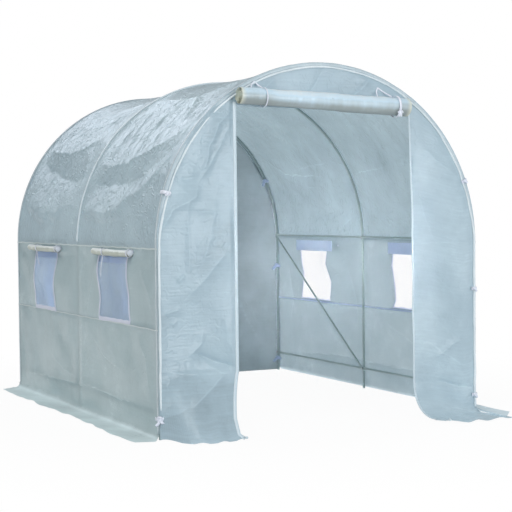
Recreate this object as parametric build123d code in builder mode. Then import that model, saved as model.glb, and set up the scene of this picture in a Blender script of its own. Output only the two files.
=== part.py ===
from build123d import *
import os
from math import asin, cos, degrees, pi, radians, sin, sqrt

# A walk-in tunnel greenhouse: three tube hoops joined by bolted rails, under a film cover sewn from panels.
# X runs across the tunnel, Y along it with the doorway at -Y, and Z up from the ground.

# Hoops
tunnel_width = 2000  # over the outside of the legs
bay_length = 1250  # from one hoop to the next
leg_height = 1000  # ground to the start of the arch
hoop_diameter = 16
hoop_wall = 1
spigot_length = 40  # how far one hoop tube enters the next
spigot_clearance = 0.15
shoulder_length = 2

# Rails and braces, round tube with flattened ends
rail_diameter = 13
rail_above_legs = 12  # middle rail, above the top of the legs
lower_rail_height = 135
spade_width = 18
spade_thickness = 2
spade_length = 32  # bolt to the neck
neck_length = 25
seat_gap = 0.25  # between bolted faces

# Film cover
cover_thickness = 3
cover_gap = 0.5  # film to hoop
end_wall_gap = 3  # end hoops to the end walls
wall_sag = 8  # hollow of the film half way between hoops, at the rails
shoulder_sag = 40  # the same, half way up the arch
roof_points = 17  # points on each roof curve
band_height = 415  # window band, down from the roof seam
skirt_width = 165
skirt_corner = 140  # slant of the skirt's ends
fan_reach = 266  # right skirt, in front of the front wall
fan_corner = 82

# Tails of the end walls
tail_reach = 340
rear_bend = 60
front_bends = (220, 110, 50)  # right front panel turns to the ground, from the doorway to the leg
front_bend_shares = (0, 0.45, 1)  # places of these along the panel
tail_run = 20  # straight part over the turn
tail_corner_width = 205
tail_corner_depth = 75
rear_corner_width = 160
rear_corner_depth = 210
fold_height = 330  # left front panel turns outwards here
fold_reaches = (4, 6, 75, 226, 224, 212)  # how far out it lands, from the leg to the doorway
fold_shares = (0, 0.1, 0.19, 0.36, 0.66, 1)  # places of these along the panel

# Doorway
door_width = 1100
door_header = 250  # crown of the frame down to the doorway
zip_width = 14
zip_thickness = 5
door_roll_radius = 50
door_roll_length = 1066
door_roll_lip = 4
door_roll_shift = -18  # middle of the roll, from the middle of the doorway
door_roll_drop = 34  # left end down to the right one
strap_width = 18
strap_thickness = 1.6
strap_gap = 0.2
strap_places = (-382, 488)  # along the roll, from its middle

# Windows
window_width = 450
window_sill = 15  # strip under a window
window_head = 20  # strip over it
mesh_thickness = 2
mesh_lap = 12
flap_radius = 22
flap_length = 590
flap_lip = 3
flap_drops = {"left": 8, "right": 28}  # below the roof seam
flap_gap = 0.3

# Ties of the end hoops: bows on the front corners, and knots inside the rear hoop
front_tie_heights = {"left": (105,), "right": (105, 726)}
rear_tie_heights = {"left": (95, 788), "right": (95, 788)}
front_tie_angle = 19  # up the arch
rear_tie_angle = 25
tie_direction = 225  # of the knot, round the hoop tube
corner_arm = 40  # of a front tie, along each wall
tie_width = 20
tie_thickness = 1.5
tie_gap = 0.2
tie_wrap = 160
knot_radius = 7
knot_width = 14

# Sizes that follow
hoop_radius = hoop_diameter / 2
bore_radius = hoop_radius - hoop_wall
spigot_radius = bore_radius - spigot_clearance
rail_radius = rail_diameter / 2
leg_x = tunnel_width / 2 - hoop_radius
lap_angle = degrees(spigot_length / leg_x)
shoulder_angle = degrees(shoulder_length / leg_x)
middle_rail_height = leg_height + rail_above_legs
spade_seat = leg_x - hoop_radius - seat_gap - spade_thickness / 2
spade_step = spade_thickness + seat_gap
wall_inner = tunnel_width / 2 + cover_gap
wall_outer = wall_inner + cover_thickness
end_face = bay_length + hoop_radius + end_wall_gap
end_outer = end_face + cover_thickness
door_side = door_width / 2
panel_edge = door_side + zip_width
band_bottom = leg_height - band_height
window_bottom = band_bottom + window_sill
window_height = band_height - window_sill - window_head
door_height = leg_height + tunnel_width / 2 - door_header
door_roll_y = -(end_outer + strap_gap + strap_thickness + strap_gap + door_roll_radius)
door_roll_z = door_height + door_roll_radius - door_roll_drop / 2
door_roll_run = sqrt(door_roll_length**2 - door_roll_drop**2)
door_roll_along = (door_roll_run / door_roll_length, 0, -door_roll_drop / door_roll_length)

sides = {"left": -1, "right": 1}
hoops = {"front": -bay_length, "middle": 0, "rear": bay_length}
ends = {"front": -1, "rear": 1}

os.makedirs("parts", exist_ok=True)


def save(piece, name):
    piece.part.label = name
    export_step(piece.part, f"parts/{name}.step")


# Hoops: plain legs, and arches that end in spigots
def hoop_leg(side, hoop_y):
    foot = Plane((side * leg_x, hoop_y, 0))
    with BuildPart() as leg:
        with BuildSketch(foot):
            Circle(hoop_radius)
            Circle(bore_radius, mode=Mode.SUBTRACT)
        extrude(amount=leg_height)
    return leg


def arch_plane(side, hoop_y, angle):
    turn = radians(angle)
    centre = (side * leg_x * cos(turn), hoop_y, leg_height + leg_x * sin(turn))
    return Plane(centre, x_dir=(0, 1, 0), z_dir=(-side * sin(turn), 0, cos(turn)))


def hoop_arch(side, hoop_y):
    foot = arch_plane(side, hoop_y, 0)
    bend = Axis((0, hoop_y, leg_height), (0, -side, 0))
    arch_angle = 90 - side * lap_angle / 2
    crown = arch_plane(side, hoop_y, arch_angle - shoulder_angle)
    with BuildPart() as arch:
        with BuildSketch(foot):
            Circle(hoop_radius)
            Circle(bore_radius, mode=Mode.SUBTRACT)
        revolve(axis=bend, revolution_arc=arch_angle)
        with BuildSketch(foot):
            Circle(hoop_radius - hoop_wall / 2)
            Circle(spigot_radius - hoop_wall / 2, mode=Mode.SUBTRACT)
        extrude(amount=shoulder_length)
        with BuildSketch(foot.offset(shoulder_length)):
            Circle(spigot_radius)
            Circle(spigot_radius - hoop_wall, mode=Mode.SUBTRACT)
        extrude(amount=-shoulder_length - spigot_length)
        if side > 0:
            with BuildSketch(crown):
                Circle(hoop_radius - hoop_wall / 2)
                Circle(spigot_radius - hoop_wall / 2, mode=Mode.SUBTRACT)
            revolve(axis=bend, revolution_arc=shoulder_angle)
            with BuildSketch(crown):
                Circle(spigot_radius)
                Circle(spigot_radius - hoop_wall, mode=Mode.SUBTRACT)
            revolve(axis=bend, revolution_arc=shoulder_angle + lap_angle)
    return arch


for place, hoop_y in hoops.items():
    for hand, side in sides.items():
        save(hoop_leg(side, hoop_y), f"{place}_{hand}_leg")
        save(hoop_arch(side, hoop_y), f"{place}_{hand}_arch")


# A tube bolted through two flattened ends, whose flats face the given way
def flat_ended_tube(start, finish, face):
    run = Vector(*finish) - Vector(*start)
    flat = run.cross(Vector(*face).cross(run)).normalized()
    end_length = spade_length + neck_length
    with BuildPart() as tube:
        for bolt, along in ((start, run.normalized()), (finish, -run.normalized())):
            spade = Plane(bolt, x_dir=along, z_dir=flat)
            neck = Plane(Vector(*bolt) + along * spade_length, x_dir=spade.y_dir, z_dir=along)
            with BuildSketch(spade):
                Circle(spade_width / 2)
                Rectangle(spade_length, spade_width, align=(Align.MIN, Align.CENTER))
            extrude(amount=spade_thickness / 2, both=True)
            with BuildSketch(neck):
                Rectangle(spade_width, spade_thickness)
            with BuildSketch(neck.offset(neck_length)):
                Circle(rail_radius)
            loft()
        with BuildSketch(neck.offset(neck_length)):
            Circle(rail_radius)
        extrude(amount=run.length - 2 * end_length)
    return tube


# Rails: at the middle hoop the rear bay's ends lie over those of the front bay
rail_heights = {"middle": middle_rail_height, "lower": lower_rail_height}
for hand, side in sides.items():
    for level, height in rail_heights.items():
        front_end = (side * spade_seat, -bay_length, height)
        front_lap = (side * spade_seat, 0, height)
        rear_lap = (side * (spade_seat - spade_step), 0, height)
        rear_end = (side * spade_seat, bay_length, height)
        save(flat_ended_tube(front_end, front_lap, (side, 0, 0)), f"front_{hand}_{level}_rail")
        save(flat_ended_tube(rear_lap, rear_end, (side, 0, 0)), f"rear_{hand}_{level}_rail")

ridge_seat = leg_height + spade_seat
save(flat_ended_tube((0, -bay_length, ridge_seat), (0, 0, ridge_seat), (0, 0, 1)), "front_ridge_rail")
ridge_lap = (0, 0, ridge_seat - spade_step)
save(flat_ended_tube(ridge_lap, (0, bay_length, ridge_seat), (0, 0, 1)), "rear_ridge_rail")

# Braces of the rear bay, over the rails' ends
for hand, side in sides.items():
    brace_top = (side * (spade_seat - spade_step), bay_length, middle_rail_height)
    brace_foot = (side * (spade_seat - 2 * spade_step), 0, lower_rail_height)
    save(flat_ended_tube(brace_foot, brace_top, (side, 0, 0)), f"{hand}_brace")


# Roof film: the arch over each hoop, and a hollower one half way along the bay
def arch_points(radius, sag_share):
    points = []
    for step in range(roof_points):
        angle = pi * step / (roof_points - 1)
        sag = wall_sag + (shoulder_sag - wall_sag) * sin(2 * angle) ** 2
        reach = radius - sag_share * sag
        points.append((reach * cos(angle), leg_height + reach * sin(angle)))
    return points


def roof_section(y, sag_share):
    arch_ends = ((0, 1), (0, -1))
    with BuildSketch(Plane.XZ.offset(-y)) as section:
        with BuildLine():
            inner = Spline(*arch_points(wall_inner, sag_share), tangents=arch_ends, tangent_scalars=(1, 1))
            outer = Spline(*arch_points(wall_outer, sag_share), tangents=arch_ends, tangent_scalars=(1, 1))
            Line(inner @ 0, outer @ 0)
            Line(inner @ 1, outer @ 1)
        make_face()
    return section.sketch


def roof_cover(end):
    at_hoop = roof_section(end * bay_length, 0)
    half_way = roof_section(end * bay_length / 2, 1)
    at_middle = roof_section(0, 0)
    with BuildPart() as roof:
        loft(sections=[at_hoop, half_way, at_middle])
        extrude(at_hoop, amount=end_face - bay_length, dir=(0, end, 0))
    return roof


for place, end in ends.items():
    save(roof_cover(end), f"{place}_roof_cover")


# Side walls: the film is drawn tight over the hoops and hangs a little hollow between them
def side_line(side, x):
    Line((side * x, -end_face), (side * x, -bay_length))
    ThreePointArc((side * x, -bay_length), (side * (x - wall_sag), -bay_length / 2), (side * x, 0))
    ThreePointArc((side * x, 0), (side * (x - wall_sag), bay_length / 2), (side * x, bay_length))
    Line((side * x, bay_length), (side * x, end_face))


def side_strip(side, inner, outer, height):
    with BuildSketch(Plane.XY.offset(height)) as strip:
        with BuildLine():
            side_line(side, inner)
            side_line(side, outer)
            Line((side * inner, -end_face), (side * outer, -end_face))
            Line((side * inner, end_face), (side * outer, end_face))
        make_face()
    return strip.sketch


def window_band(side):
    strip = side_strip(side, wall_inner, wall_outer, band_bottom)
    with BuildPart() as band:
        extrude(strip, amount=band_height)
        for bay_middle in (-bay_length / 2, bay_length / 2):
            sill = Plane((0, bay_middle, window_bottom), x_dir=(0, -side, 0), z_dir=(-side, 0, 0))
            with BuildSketch(sill):
                Rectangle(window_width, window_height, align=(Align.CENTER, Align.MIN))
            extrude(amount=-tunnel_width, mode=Mode.SUBTRACT)
    return band


def window_meshes(side):
    mesh_bottom = window_bottom - mesh_lap
    strip = side_strip(side, wall_inner - mesh_thickness, wall_inner, mesh_bottom)
    with BuildPart() as meshes:
        extrude(strip, amount=window_height + 2 * mesh_lap)
        with BuildSketch(Plane.XY.offset(mesh_bottom)):
            for bay_middle in (-bay_length / 2, bay_length / 2):
                with Locations((side * wall_inner, bay_middle)):
                    Rectangle(tunnel_width / 2, window_width + 2 * mesh_lap)
        extrude(amount=window_height + 2 * mesh_lap, mode=Mode.INTERSECT)
    return meshes


def lower_wall(side, front_inner, front_outer):
    strip = side_strip(side, wall_inner, wall_outer, 0)
    skirt_x = wall_outer + skirt_width
    with BuildPart() as wall:
        extrude(strip, amount=band_bottom)
        with BuildSketch():
            with BuildLine():
                side_line(side, wall_inner)
                Line((side * wall_inner, -end_face), (side * wall_outer, -end_face))
                Polyline(
                    (side * wall_outer, -end_face),
                    (side * wall_outer, -front_inner),
                    (side * skirt_x, -front_outer),
                    (side * skirt_x, end_outer - skirt_corner),
                    (side * wall_outer, end_outer),
                    (side * wall_outer, end_face),
                )
                Line((side * wall_outer, end_face), (side * wall_inner, end_face))
            make_face()
        extrude(amount=cover_thickness)
    return wall


for hand, side in sides.items():
    save(window_band(side), f"{hand}_window_band")
    save(window_meshes(side), f"{hand}_window_meshes")
save(lower_wall(-1, end_outer, end_outer), "left_lower_wall")
save(lower_wall(1, end_outer + fan_reach, end_outer + fan_corner), "right_lower_wall")


# End walls: a flat sheet under the arch, cut to the given limits
def end_sheet(end, x_low, x_high, z_low, z_high):
    with BuildSketch(Plane.XZ.offset(-end * end_face)) as sheet:
        with Locations((0, leg_height)):
            Circle(wall_outer)
        Rectangle(2 * wall_outer, leg_height, align=(Align.CENTER, Align.MIN))
        with Locations((x_low, z_low)):
            Rectangle(
                x_high - x_low, z_high - z_low, align=(Align.MIN, Align.MIN), mode=Mode.INTERSECT
            )
    return sheet.sketch


# Tail that turns out of the wall and lies on the ground, in side view
tail_height = max(front_bends) + tail_run


def tail_profile(end, x, bend, thickness):
    turn_y = end_face + bend
    half_turn = sqrt(2) / 2
    inner_bend = bend * half_turn
    outer_bend = (bend - thickness) * half_turn
    with BuildSketch(Plane.YZ.offset(x)) as profile:
        with BuildLine():
            Polyline(
                (end * (end_face + thickness), bend),
                (end * (end_face + thickness), tail_height),
                (end * end_face, tail_height),
                (end * end_face, bend),
            )
            ThreePointArc(
                (end * end_face, bend),
                (end * (turn_y - inner_bend), bend - inner_bend),
                (end * turn_y, 0),
            )
            Polyline(
                (end * turn_y, 0),
                (end * (end_face + tail_reach), 0),
                (end * (end_face + tail_reach), thickness),
                (end * turn_y, thickness),
            )
            ThreePointArc(
                (end * turn_y, thickness),
                (end * (turn_y - outer_bend), bend - outer_bend),
                (end * (end_face + thickness), bend),
            )
        make_face()
    return profile.sketch


# Tail that leans out from a fold, in side view
def fold_profile(x, reach, thickness):
    bend = (reach**2 + fold_height**2) / (2 * reach)
    centre_y = -(end_face + bend)

    def lean(radius):
        start_angle = 0
        arc_angle = -degrees(asin(fold_height / radius))
        return CenterArc((centre_y, fold_height), radius, start_angle, arc_angle)

    with BuildSketch(Plane.YZ.offset(x)) as profile:
        with BuildLine():
            inner = lean(bend)
            outer = lean(bend - thickness)
            Line(inner @ 0, outer @ 0)
            Line(inner @ 1, outer @ 1)
        make_face()
    return profile.sketch


top = leg_height + wall_outer
rear_sheet = end_sheet(1, -wall_outer, wall_outer, tail_height, top)
rear_tail = tail_profile(1, -wall_outer, rear_bend, cover_thickness)
with BuildPart() as rear_wall:
    extrude(rear_tail, amount=2 * wall_outer)
    with BuildSketch():
        with BuildLine():
            Polyline(
                (-wall_outer, 0),
                (-wall_outer, end_face + tail_reach - rear_corner_depth),
                (-wall_outer + rear_corner_width, end_face + tail_reach),
                (wall_outer - rear_corner_width, end_face + tail_reach),
                (wall_outer, end_face + tail_reach - rear_corner_depth),
                (wall_outer, 0),
                close=True,
            )
        make_face()
    extrude(amount=top, mode=Mode.INTERSECT)
    extrude(rear_sheet, amount=cover_thickness, dir=(0, 1, 0))
save(rear_wall, "rear_wall")

right_sheet = end_sheet(-1, panel_edge, wall_outer, tail_height, top)
tail_sections = []
for share, bend in zip(front_bend_shares, front_bends):
    section_x = panel_edge + share * (wall_outer - panel_edge)
    tail_sections.append(tail_profile(-1, section_x, bend, cover_thickness))
with BuildPart() as front_right_panel:
    loft(sections=tail_sections, ruled=True)
    with BuildSketch():
        with BuildLine():
            Polyline(
                (panel_edge, 0),
                (panel_edge, -end_face - tail_reach),
                (wall_outer - tail_corner_width, -end_face - tail_reach),
                (wall_outer, -end_face - tail_reach + tail_corner_depth),
                (wall_outer, 0),
                close=True,
            )
        make_face()
    extrude(amount=top, mode=Mode.INTERSECT)
    extrude(right_sheet, amount=cover_thickness, dir=(0, -1, 0))
save(front_right_panel, "front_right_panel")

left_sheet = end_sheet(-1, -wall_outer, -panel_edge, fold_height, top)
fold_sections = []
for share, reach in zip(fold_shares, fold_reaches):
    section_x = -wall_outer + share * (wall_outer - panel_edge)
    fold_sections.append(fold_profile(section_x, reach, cover_thickness))
with BuildPart() as front_left_panel:
    loft(sections=fold_sections, ruled=True)
    extrude(left_sheet, amount=cover_thickness, dir=(0, -1, 0))
save(front_left_panel, "front_left_panel")

top_sheet = end_sheet(-1, -panel_edge, panel_edge, door_height, top)
with BuildPart() as front_top_panel:
    extrude(top_sheet, amount=cover_thickness, dir=(0, -1, 0))
save(front_top_panel, "front_top_panel")

# Zips along both edges of the doorway, down the tails as well
left_zip_sheet = end_sheet(-1, -panel_edge, -door_side, fold_height, door_height)
with BuildPart() as left_door_zip:
    extrude(fold_profile(-panel_edge, fold_reaches[-1], zip_thickness), amount=zip_width)
    extrude(left_zip_sheet, amount=zip_thickness, dir=(0, -1, 0))
save(left_door_zip, "left_door_zip")

right_zip_sheet = end_sheet(-1, door_side, panel_edge, tail_height, door_height)
with BuildPart() as right_door_zip:
    extrude(tail_profile(-1, door_side, front_bends[0], zip_thickness), amount=zip_width)
    extrude(right_zip_sheet, amount=zip_thickness, dir=(0, -1, 0))
save(right_door_zip, "right_door_zip")


# Rolled film: one turn of a spiral, with the loose edge standing as a lip
def roll_outline(radius, lip, start_turn):
    points = []
    for step in range(roof_points):
        angle = start_turn + 2 * pi * step / (roof_points - 1)
        reach = radius - lip * step / (roof_points - 1)
        points.append((reach * cos(angle), reach * sin(angle)))
    return points


def film_roll(plane, radius, lip, length, start_turn):
    with BuildPart() as roll:
        with BuildSketch(plane):
            with BuildLine():
                turn = Spline(*roll_outline(radius, lip, start_turn))
                Line(turn @ 0, turn @ 1)
            make_face()
        extrude(amount=length / 2, both=True)
    return roll


door_roll_plane = Plane((door_roll_shift, door_roll_y, door_roll_z), x_dir=(0, 1, 0), z_dir=door_roll_along)
save(film_roll(door_roll_plane, door_roll_radius, door_roll_lip, door_roll_length, 0), "door_roll")

flap_hollow = wall_sag * (1 - (flap_length / bay_length) ** 2)
flap_x = wall_outer - flap_hollow + flap_gap + flap_radius
for hand, side in sides.items():
    flap_z = leg_height - flap_drops[hand] - flap_radius
    for place, end in ends.items():
        flap_plane = Plane((side * flap_x, end * bay_length / 2, flap_z), x_dir=(side, 0, 0), z_dir=(0, 1, 0))
        save(film_roll(flap_plane, flap_radius, flap_lip, flap_length, pi), f"{place}_{hand}_window_flap")


# Ties: planes across an end hoop, with local X outwards and local Y along the tunnel
foot_bend = (fold_reaches[1] ** 2 + fold_height**2) / (2 * fold_reaches[1])


def foot_lean(side, hoop_y, height):
    fold_drop = fold_height + tie_width / 2 - height
    leans = side < 0 and hoop_y < 0 and fold_drop > 0
    return foot_bend - sqrt(foot_bend**2 - fold_drop**2) if leans else 0


def tie_planes(hoop_y, heights, arch_angle):
    planes = []
    for hand, side in sides.items():
        for height in heights[hand]:
            centre = (side * leg_x, hoop_y - foot_lean(side, hoop_y, height), height)
            planes.append(Plane(centre, x_dir=(side, 0, 0), z_dir=(0, 0, side)))
        turn = radians(arch_angle)
        centre = (side * leg_x * cos(turn), hoop_y, leg_height + leg_x * sin(turn))
        outward = (side * cos(turn), 0, sin(turn))
        planes.append(Plane(centre, x_dir=outward, z_dir=(-sin(turn), 0, side * cos(turn))))
    return planes


# Rear ties: a strap round the inside of the hoop tube, drawn up in a knot
def tie_sketch(plane):
    strap_outer = hoop_radius + tie_gap + tie_thickness
    start_angle = tie_direction - tie_wrap / 2
    with BuildSketch(plane) as strap:
        with BuildLine():
            inner = CenterArc((0, 0), hoop_radius + tie_gap, start_angle, tie_wrap)
            outer = CenterArc((0, 0), strap_outer, start_angle, tie_wrap)
            Line(inner @ 0, outer @ 0)
            Line(inner @ 1, outer @ 1)
        make_face()
    return strap.sketch


def knot_sketch(plane):
    inward = radians(tie_direction)
    knot_centre = hoop_radius + tie_gap + tie_thickness / 2 + knot_radius
    with BuildSketch(plane) as knot:
        with Locations((knot_centre * cos(inward), knot_centre * sin(inward))):
            Circle(knot_radius)
    return knot.sketch


# Front ties: a strap over the corner of the film, with the bow's knot on the front wall
corner_x = wall_outer - leg_x + tie_gap
corner_y = bay_length - end_outer - tie_gap


def corner_tie_sketch(plane):
    with BuildSketch(plane) as strap:
        with BuildLine():
            Polyline(
                (corner_x, corner_y + corner_arm),
                (corner_x, corner_y),
                (corner_x - corner_arm, corner_y),
                (corner_x - corner_arm, corner_y - tie_thickness),
                (corner_x + tie_thickness, corner_y - tie_thickness),
                (corner_x + tie_thickness, corner_y + corner_arm),
                close=True,
            )
        make_face()
    return strap.sketch


def corner_knot_sketch(plane):
    with BuildSketch(plane) as knot:
        with Locations((corner_x - corner_arm / 2, corner_y - tie_thickness / 2 - knot_radius)):
            Circle(knot_radius)
    return knot.sketch


with BuildPart() as rear_ties:
    for plane in tie_planes(bay_length, rear_tie_heights, rear_tie_angle):
        extrude(tie_sketch(plane), amount=tie_width / 2, both=True)
        extrude(knot_sketch(plane), amount=knot_width / 2, both=True)
save(rear_ties, "rear_ties")

strap_inner = door_roll_radius + strap_gap
with BuildPart() as front_ties:
    for plane in tie_planes(-bay_length, front_tie_heights, front_tie_angle):
        extrude(corner_tie_sketch(plane), amount=tie_width / 2, both=True)
        extrude(corner_knot_sketch(plane), amount=knot_width / 2, both=True)
    for place in strap_places:
        with BuildSketch(door_roll_plane.offset(place)):
            Circle(strap_inner + strap_thickness)
            Circle(strap_inner, mode=Mode.SUBTRACT)
        extrude(amount=strap_width / 2, both=True)
save(front_ties, "front_ties")
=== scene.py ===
import math

import bpy
import numpy as np
from mathutils import Matrix, Vector


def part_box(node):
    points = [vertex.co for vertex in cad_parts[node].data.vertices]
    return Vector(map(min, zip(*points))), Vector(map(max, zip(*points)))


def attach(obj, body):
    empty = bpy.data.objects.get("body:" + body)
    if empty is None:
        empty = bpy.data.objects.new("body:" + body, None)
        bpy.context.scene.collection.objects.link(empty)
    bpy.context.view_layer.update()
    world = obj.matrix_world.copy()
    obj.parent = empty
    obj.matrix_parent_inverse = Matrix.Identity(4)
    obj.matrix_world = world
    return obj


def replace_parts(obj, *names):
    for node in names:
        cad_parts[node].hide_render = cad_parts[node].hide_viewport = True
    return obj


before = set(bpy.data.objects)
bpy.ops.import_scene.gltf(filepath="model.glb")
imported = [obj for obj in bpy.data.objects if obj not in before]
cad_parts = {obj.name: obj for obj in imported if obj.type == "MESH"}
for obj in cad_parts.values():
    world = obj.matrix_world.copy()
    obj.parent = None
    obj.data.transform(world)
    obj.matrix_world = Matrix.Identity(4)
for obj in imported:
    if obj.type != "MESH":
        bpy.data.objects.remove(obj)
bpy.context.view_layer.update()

roofLow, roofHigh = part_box("front_roof_cover")
legLow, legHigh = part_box("front_left_leg")
rollLow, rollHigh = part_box("door_roll")
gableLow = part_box("front_top_panel")[0]

halfFilm = .0015  # half the thickness the solids give the film
tubeRadius = (legHigh.x - legLow.x) / 2
hoopX, hoopY = -(legLow.x + legHigh.x) / 2, -(legLow.y + legHigh.y) / 2
spring = roofLow.z  # where the legs end and the arches start
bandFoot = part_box("left_window_band")[0].z
filmX = roofHigh.x - halfFilm  # middle of the film at a hoop
endY = -gableLow.y - halfFilm  # middle of the film of an end wall
doorHalf = -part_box("left_door_zip")[0].x  # outer edge of the zips
doorHead = gableLow.z
frontTop = spring + math.sqrt(filmX ** 2 - doorHalf ** 2)  # where a doorway edge meets the arch
signs = {"left": -1, "right": 1}


# Noise and folds, all from fixed seeds

wrinkle = {"stray": .006, "strayFine": .002, "markWidth": .004, "markRise": .008}


def grid(rows, cols):
    return np.meshgrid(rows, cols, indexing="ij")


def pack(*parts):
    return np.stack(parts, -1)


def lattice(i, j, seed):
    n = (i * 374761393 + j * 668265263 + seed * 974634777) & 0xFFFFFFFF
    n = ((n ^ (n >> 13)) * 1274126177) & 0xFFFFFFFF
    return ((n ^ (n >> 16)) & 0xFFFF) / 32767.5 - 1


def softNoise(x, y, seed):
    xi, yi = np.floor(x).astype(np.int64), np.floor(y).astype(np.int64)
    fx, fy = x - xi, y - yi
    fx, fy = fx * fx * (3 - 2 * fx), fy * fy * (3 - 2 * fy)
    low = lattice(xi, yi, seed) * (1 - fx) + lattice(xi + 1, yi, seed) * fx
    high = lattice(xi, yi + 1, seed) * (1 - fx) + lattice(xi + 1, yi + 1, seed) * fx
    return low * (1 - fy) + high * fy


def noiseAlong(t, seed):
    return softNoise(t, t * 0, seed)


def smooth(t):
    t = np.clip(t, 0, 1)
    return t * t * (3 - 2 * t)


def zigzag(t):
    return np.abs(t % 2 - 1) - .5


def easy(t, at, values, soft=.07):
    return sum(np.interp(t + soft * k, at, values) for k in (-1, -.5, 0, .5, 1)) / 5


def crumple(x, y, size, seed, lean=None, spread=math.pi, waves=5):
    rng = np.random.default_rng(seed)  # straight sharp creases that cross, as in thin sheet
    total = np.zeros_like(x)
    for k in range(waves):
        turn = rng.uniform(-spread / 2, spread / 2) + (rng.uniform(0, math.pi) if lean is None else lean)
        long = size * rng.uniform(.7, 1.9)
        warp = softNoise(x / (size * 2.2), y / (size * 2.2), seed + 17 * k) * .55
        along = (x * math.cos(turn) + y * math.sin(turn)) / long + warp + rng.uniform(0, 2)
        mask = .5 + .5 * softNoise(x / (size * 2.9), y / (size * 2.9), seed + 31 * k + 5)
        total += zigzag(along) * mask * long / size
    return total / waves * 2


def lineOffset(x, y, points):
    best, share = np.full(np.shape(x), 9.0), np.zeros(np.shape(x))
    lengths = [math.dist(a, b) for a, b in zip(points, points[1:])]
    done = 0.0
    for (x0, y0), (x1, y1), length in zip(points, points[1:], lengths):
        t = np.clip(((x - x0) * (x1 - x0) + (y - y0) * (y1 - y0)) / length ** 2, 0, 1)
        nearX, nearY = x - x0 - t * (x1 - x0), y - y0 - t * (y1 - y0)
        off = np.hypot(nearX, nearY) * np.where(nearX * (y1 - y0) < nearY * (x1 - x0), -1, 1)
        nearer = np.abs(off) < np.abs(best)
        best = np.where(nearer, off, best)
        share = np.where(nearer, (done + t * length) / sum(lengths), share)
        done += length
    return best, share


def creases(x, y, lines, seed):
    stray = wrinkle["stray"]
    x = x + stray * softNoise(x * 17, y * 17, seed) + wrinkle["strayFine"] * softNoise(x * 61, y * 61, seed + 1)
    y = y + stray * softNoise(x * 17, y * 17, seed + 2)
    height, mark = np.zeros_like(x), np.zeros_like(x)
    for points, rise, width, lean in lines:  # a positive lean widens the side right of the line's run
        off, share = lineOffset(x, y, points)
        wide = np.where(off > 0, width * (1 + lean), width * (1 - .6 * lean))
        fade = smooth(share / .3 + .15) * smooth((1 - share) / .3 + .15)
        height += rise * np.exp(-np.abs(off) / wide) * fade
        mark += np.exp(-(off / wrinkle["markWidth"]) ** 2) * fade * min(abs(rise) / wrinkle["markRise"], 1)
    return height, np.clip(mark, 0, 1)


# Meshes and pieces

def addObject(name, data):
    thing = bpy.data.objects.new(name, data)
    bpy.context.scene.collection.objects.link(thing)
    return thing


def ridePiece(piece):
    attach(piece, "root")
    return piece


def newPiece(name, mesh, material, smoothed=True):
    mesh.materials.append(material)
    mesh.polygons.foreach_set("use_smooth", [smoothed] * len(mesh.polygons))
    return ridePiece(addObject(name, mesh))


def gridMesh(name, points, flat, marks, keep=None, flip=False):
    rows, cols = points.shape[:2]
    index = np.arange(rows * cols).reshape(rows, cols)
    quads = pack(index[:-1, :-1], index[1:, :-1], index[1:, 1:], index[:-1, 1:])
    quads = quads.reshape(-1, 4) if keep is None else quads[keep]
    if flip:
        quads = quads[:, ::-1]
    used, quads = np.unique(quads, return_inverse=True)
    quads = quads.reshape(-1, 4)
    mesh = bpy.data.meshes.new(name)
    mesh.vertices.add(len(used))
    mesh.vertices.foreach_set("co", points.reshape(-1, 3)[used].astype(np.float32).ravel())
    mesh.loops.add(quads.size)
    mesh.loops.foreach_set("vertex_index", quads.astype(np.int32).ravel())
    mesh.polygons.add(len(quads))
    mesh.polygons.foreach_set("loop_start", np.arange(0, quads.size, 4, dtype=np.int32))
    mesh.update(calc_edges=True)
    layer = mesh.uv_layers.new(name="UVMap")
    layer.data.foreach_set("uv", flat.reshape(-1, 2)[used][quads.ravel()].astype(np.float32).ravel())
    for label, values in marks.items():
        layer = mesh.attributes.new(label, "FLOAT", "POINT")
        layer.data.foreach_set("value", values.ravel()[used].astype(np.float32))
    mesh.validate()
    return mesh


def filmPiece(name, node, points, flat, material, marks, keep=None, flip=False):
    piece = newPiece(name, gridMesh(name, points, flat, marks, keep, flip), material)
    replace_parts(piece, node)
    return piece


def joinPiece(name, meshes, material, smoothed=True):
    mesh = bpy.data.meshes.new(name)
    verts, faces, uvs, base = [], [], [], 0
    for part in meshes:
        place = np.empty(len(part.vertices) * 3, np.float32)
        part.vertices.foreach_get("co", place)
        verts += place.reshape(-1, 3).tolist()
        faces += [[v + base for v in p.vertices] for p in part.polygons]
        flat = np.zeros(len(part.loops) * 2, np.float32)
        part.uv_layers[0].data.foreach_get("uv", flat)
        uvs.append(flat)
        base += len(part.vertices)
        bpy.data.meshes.remove(part)
    mesh.from_pydata(verts, [], faces)
    mesh.uv_layers.new(name="UVMap").data.foreach_set("uv", np.concatenate(uvs))
    mesh.update()
    return newPiece(name, mesh, material, smoothed)


def unitRows(rows):
    return rows / (np.linalg.norm(rows, axis=1, keepdims=True) + 1e-12)


def ringMesh(name, rings, across):
    count, sides = rings.shape[:2]  # closed rings along a path, capped at both ends
    run = np.concatenate([[0], np.cumsum(np.linalg.norm(np.diff(rings.mean(1), axis=0), axis=1))])
    faces, uv = [], []
    for i in range(count - 1):
        for k in range(sides):
            a, b = i * sides + k, i * sides + (k + 1) % sides
            faces.append((a, b, b + sides, a + sides))
            uv += [(across[m], run[n]) for m, n in ((k, i), (k + 1, i), (k + 1, i + 1), (k, i + 1))]
    faces += [tuple(range(sides))[::-1], tuple((count - 1) * sides + k for k in range(sides))]
    uv += [(0, 0)] * (2 * sides)
    mesh = bpy.data.meshes.new(name)
    mesh.from_pydata(rings.reshape(-1, 3).tolist(), [], faces)
    mesh.uv_layers.new(name="UVMap").data.foreach_set("uv", np.array(uv, np.float32).ravel())
    mesh.update()
    return mesh


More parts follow.
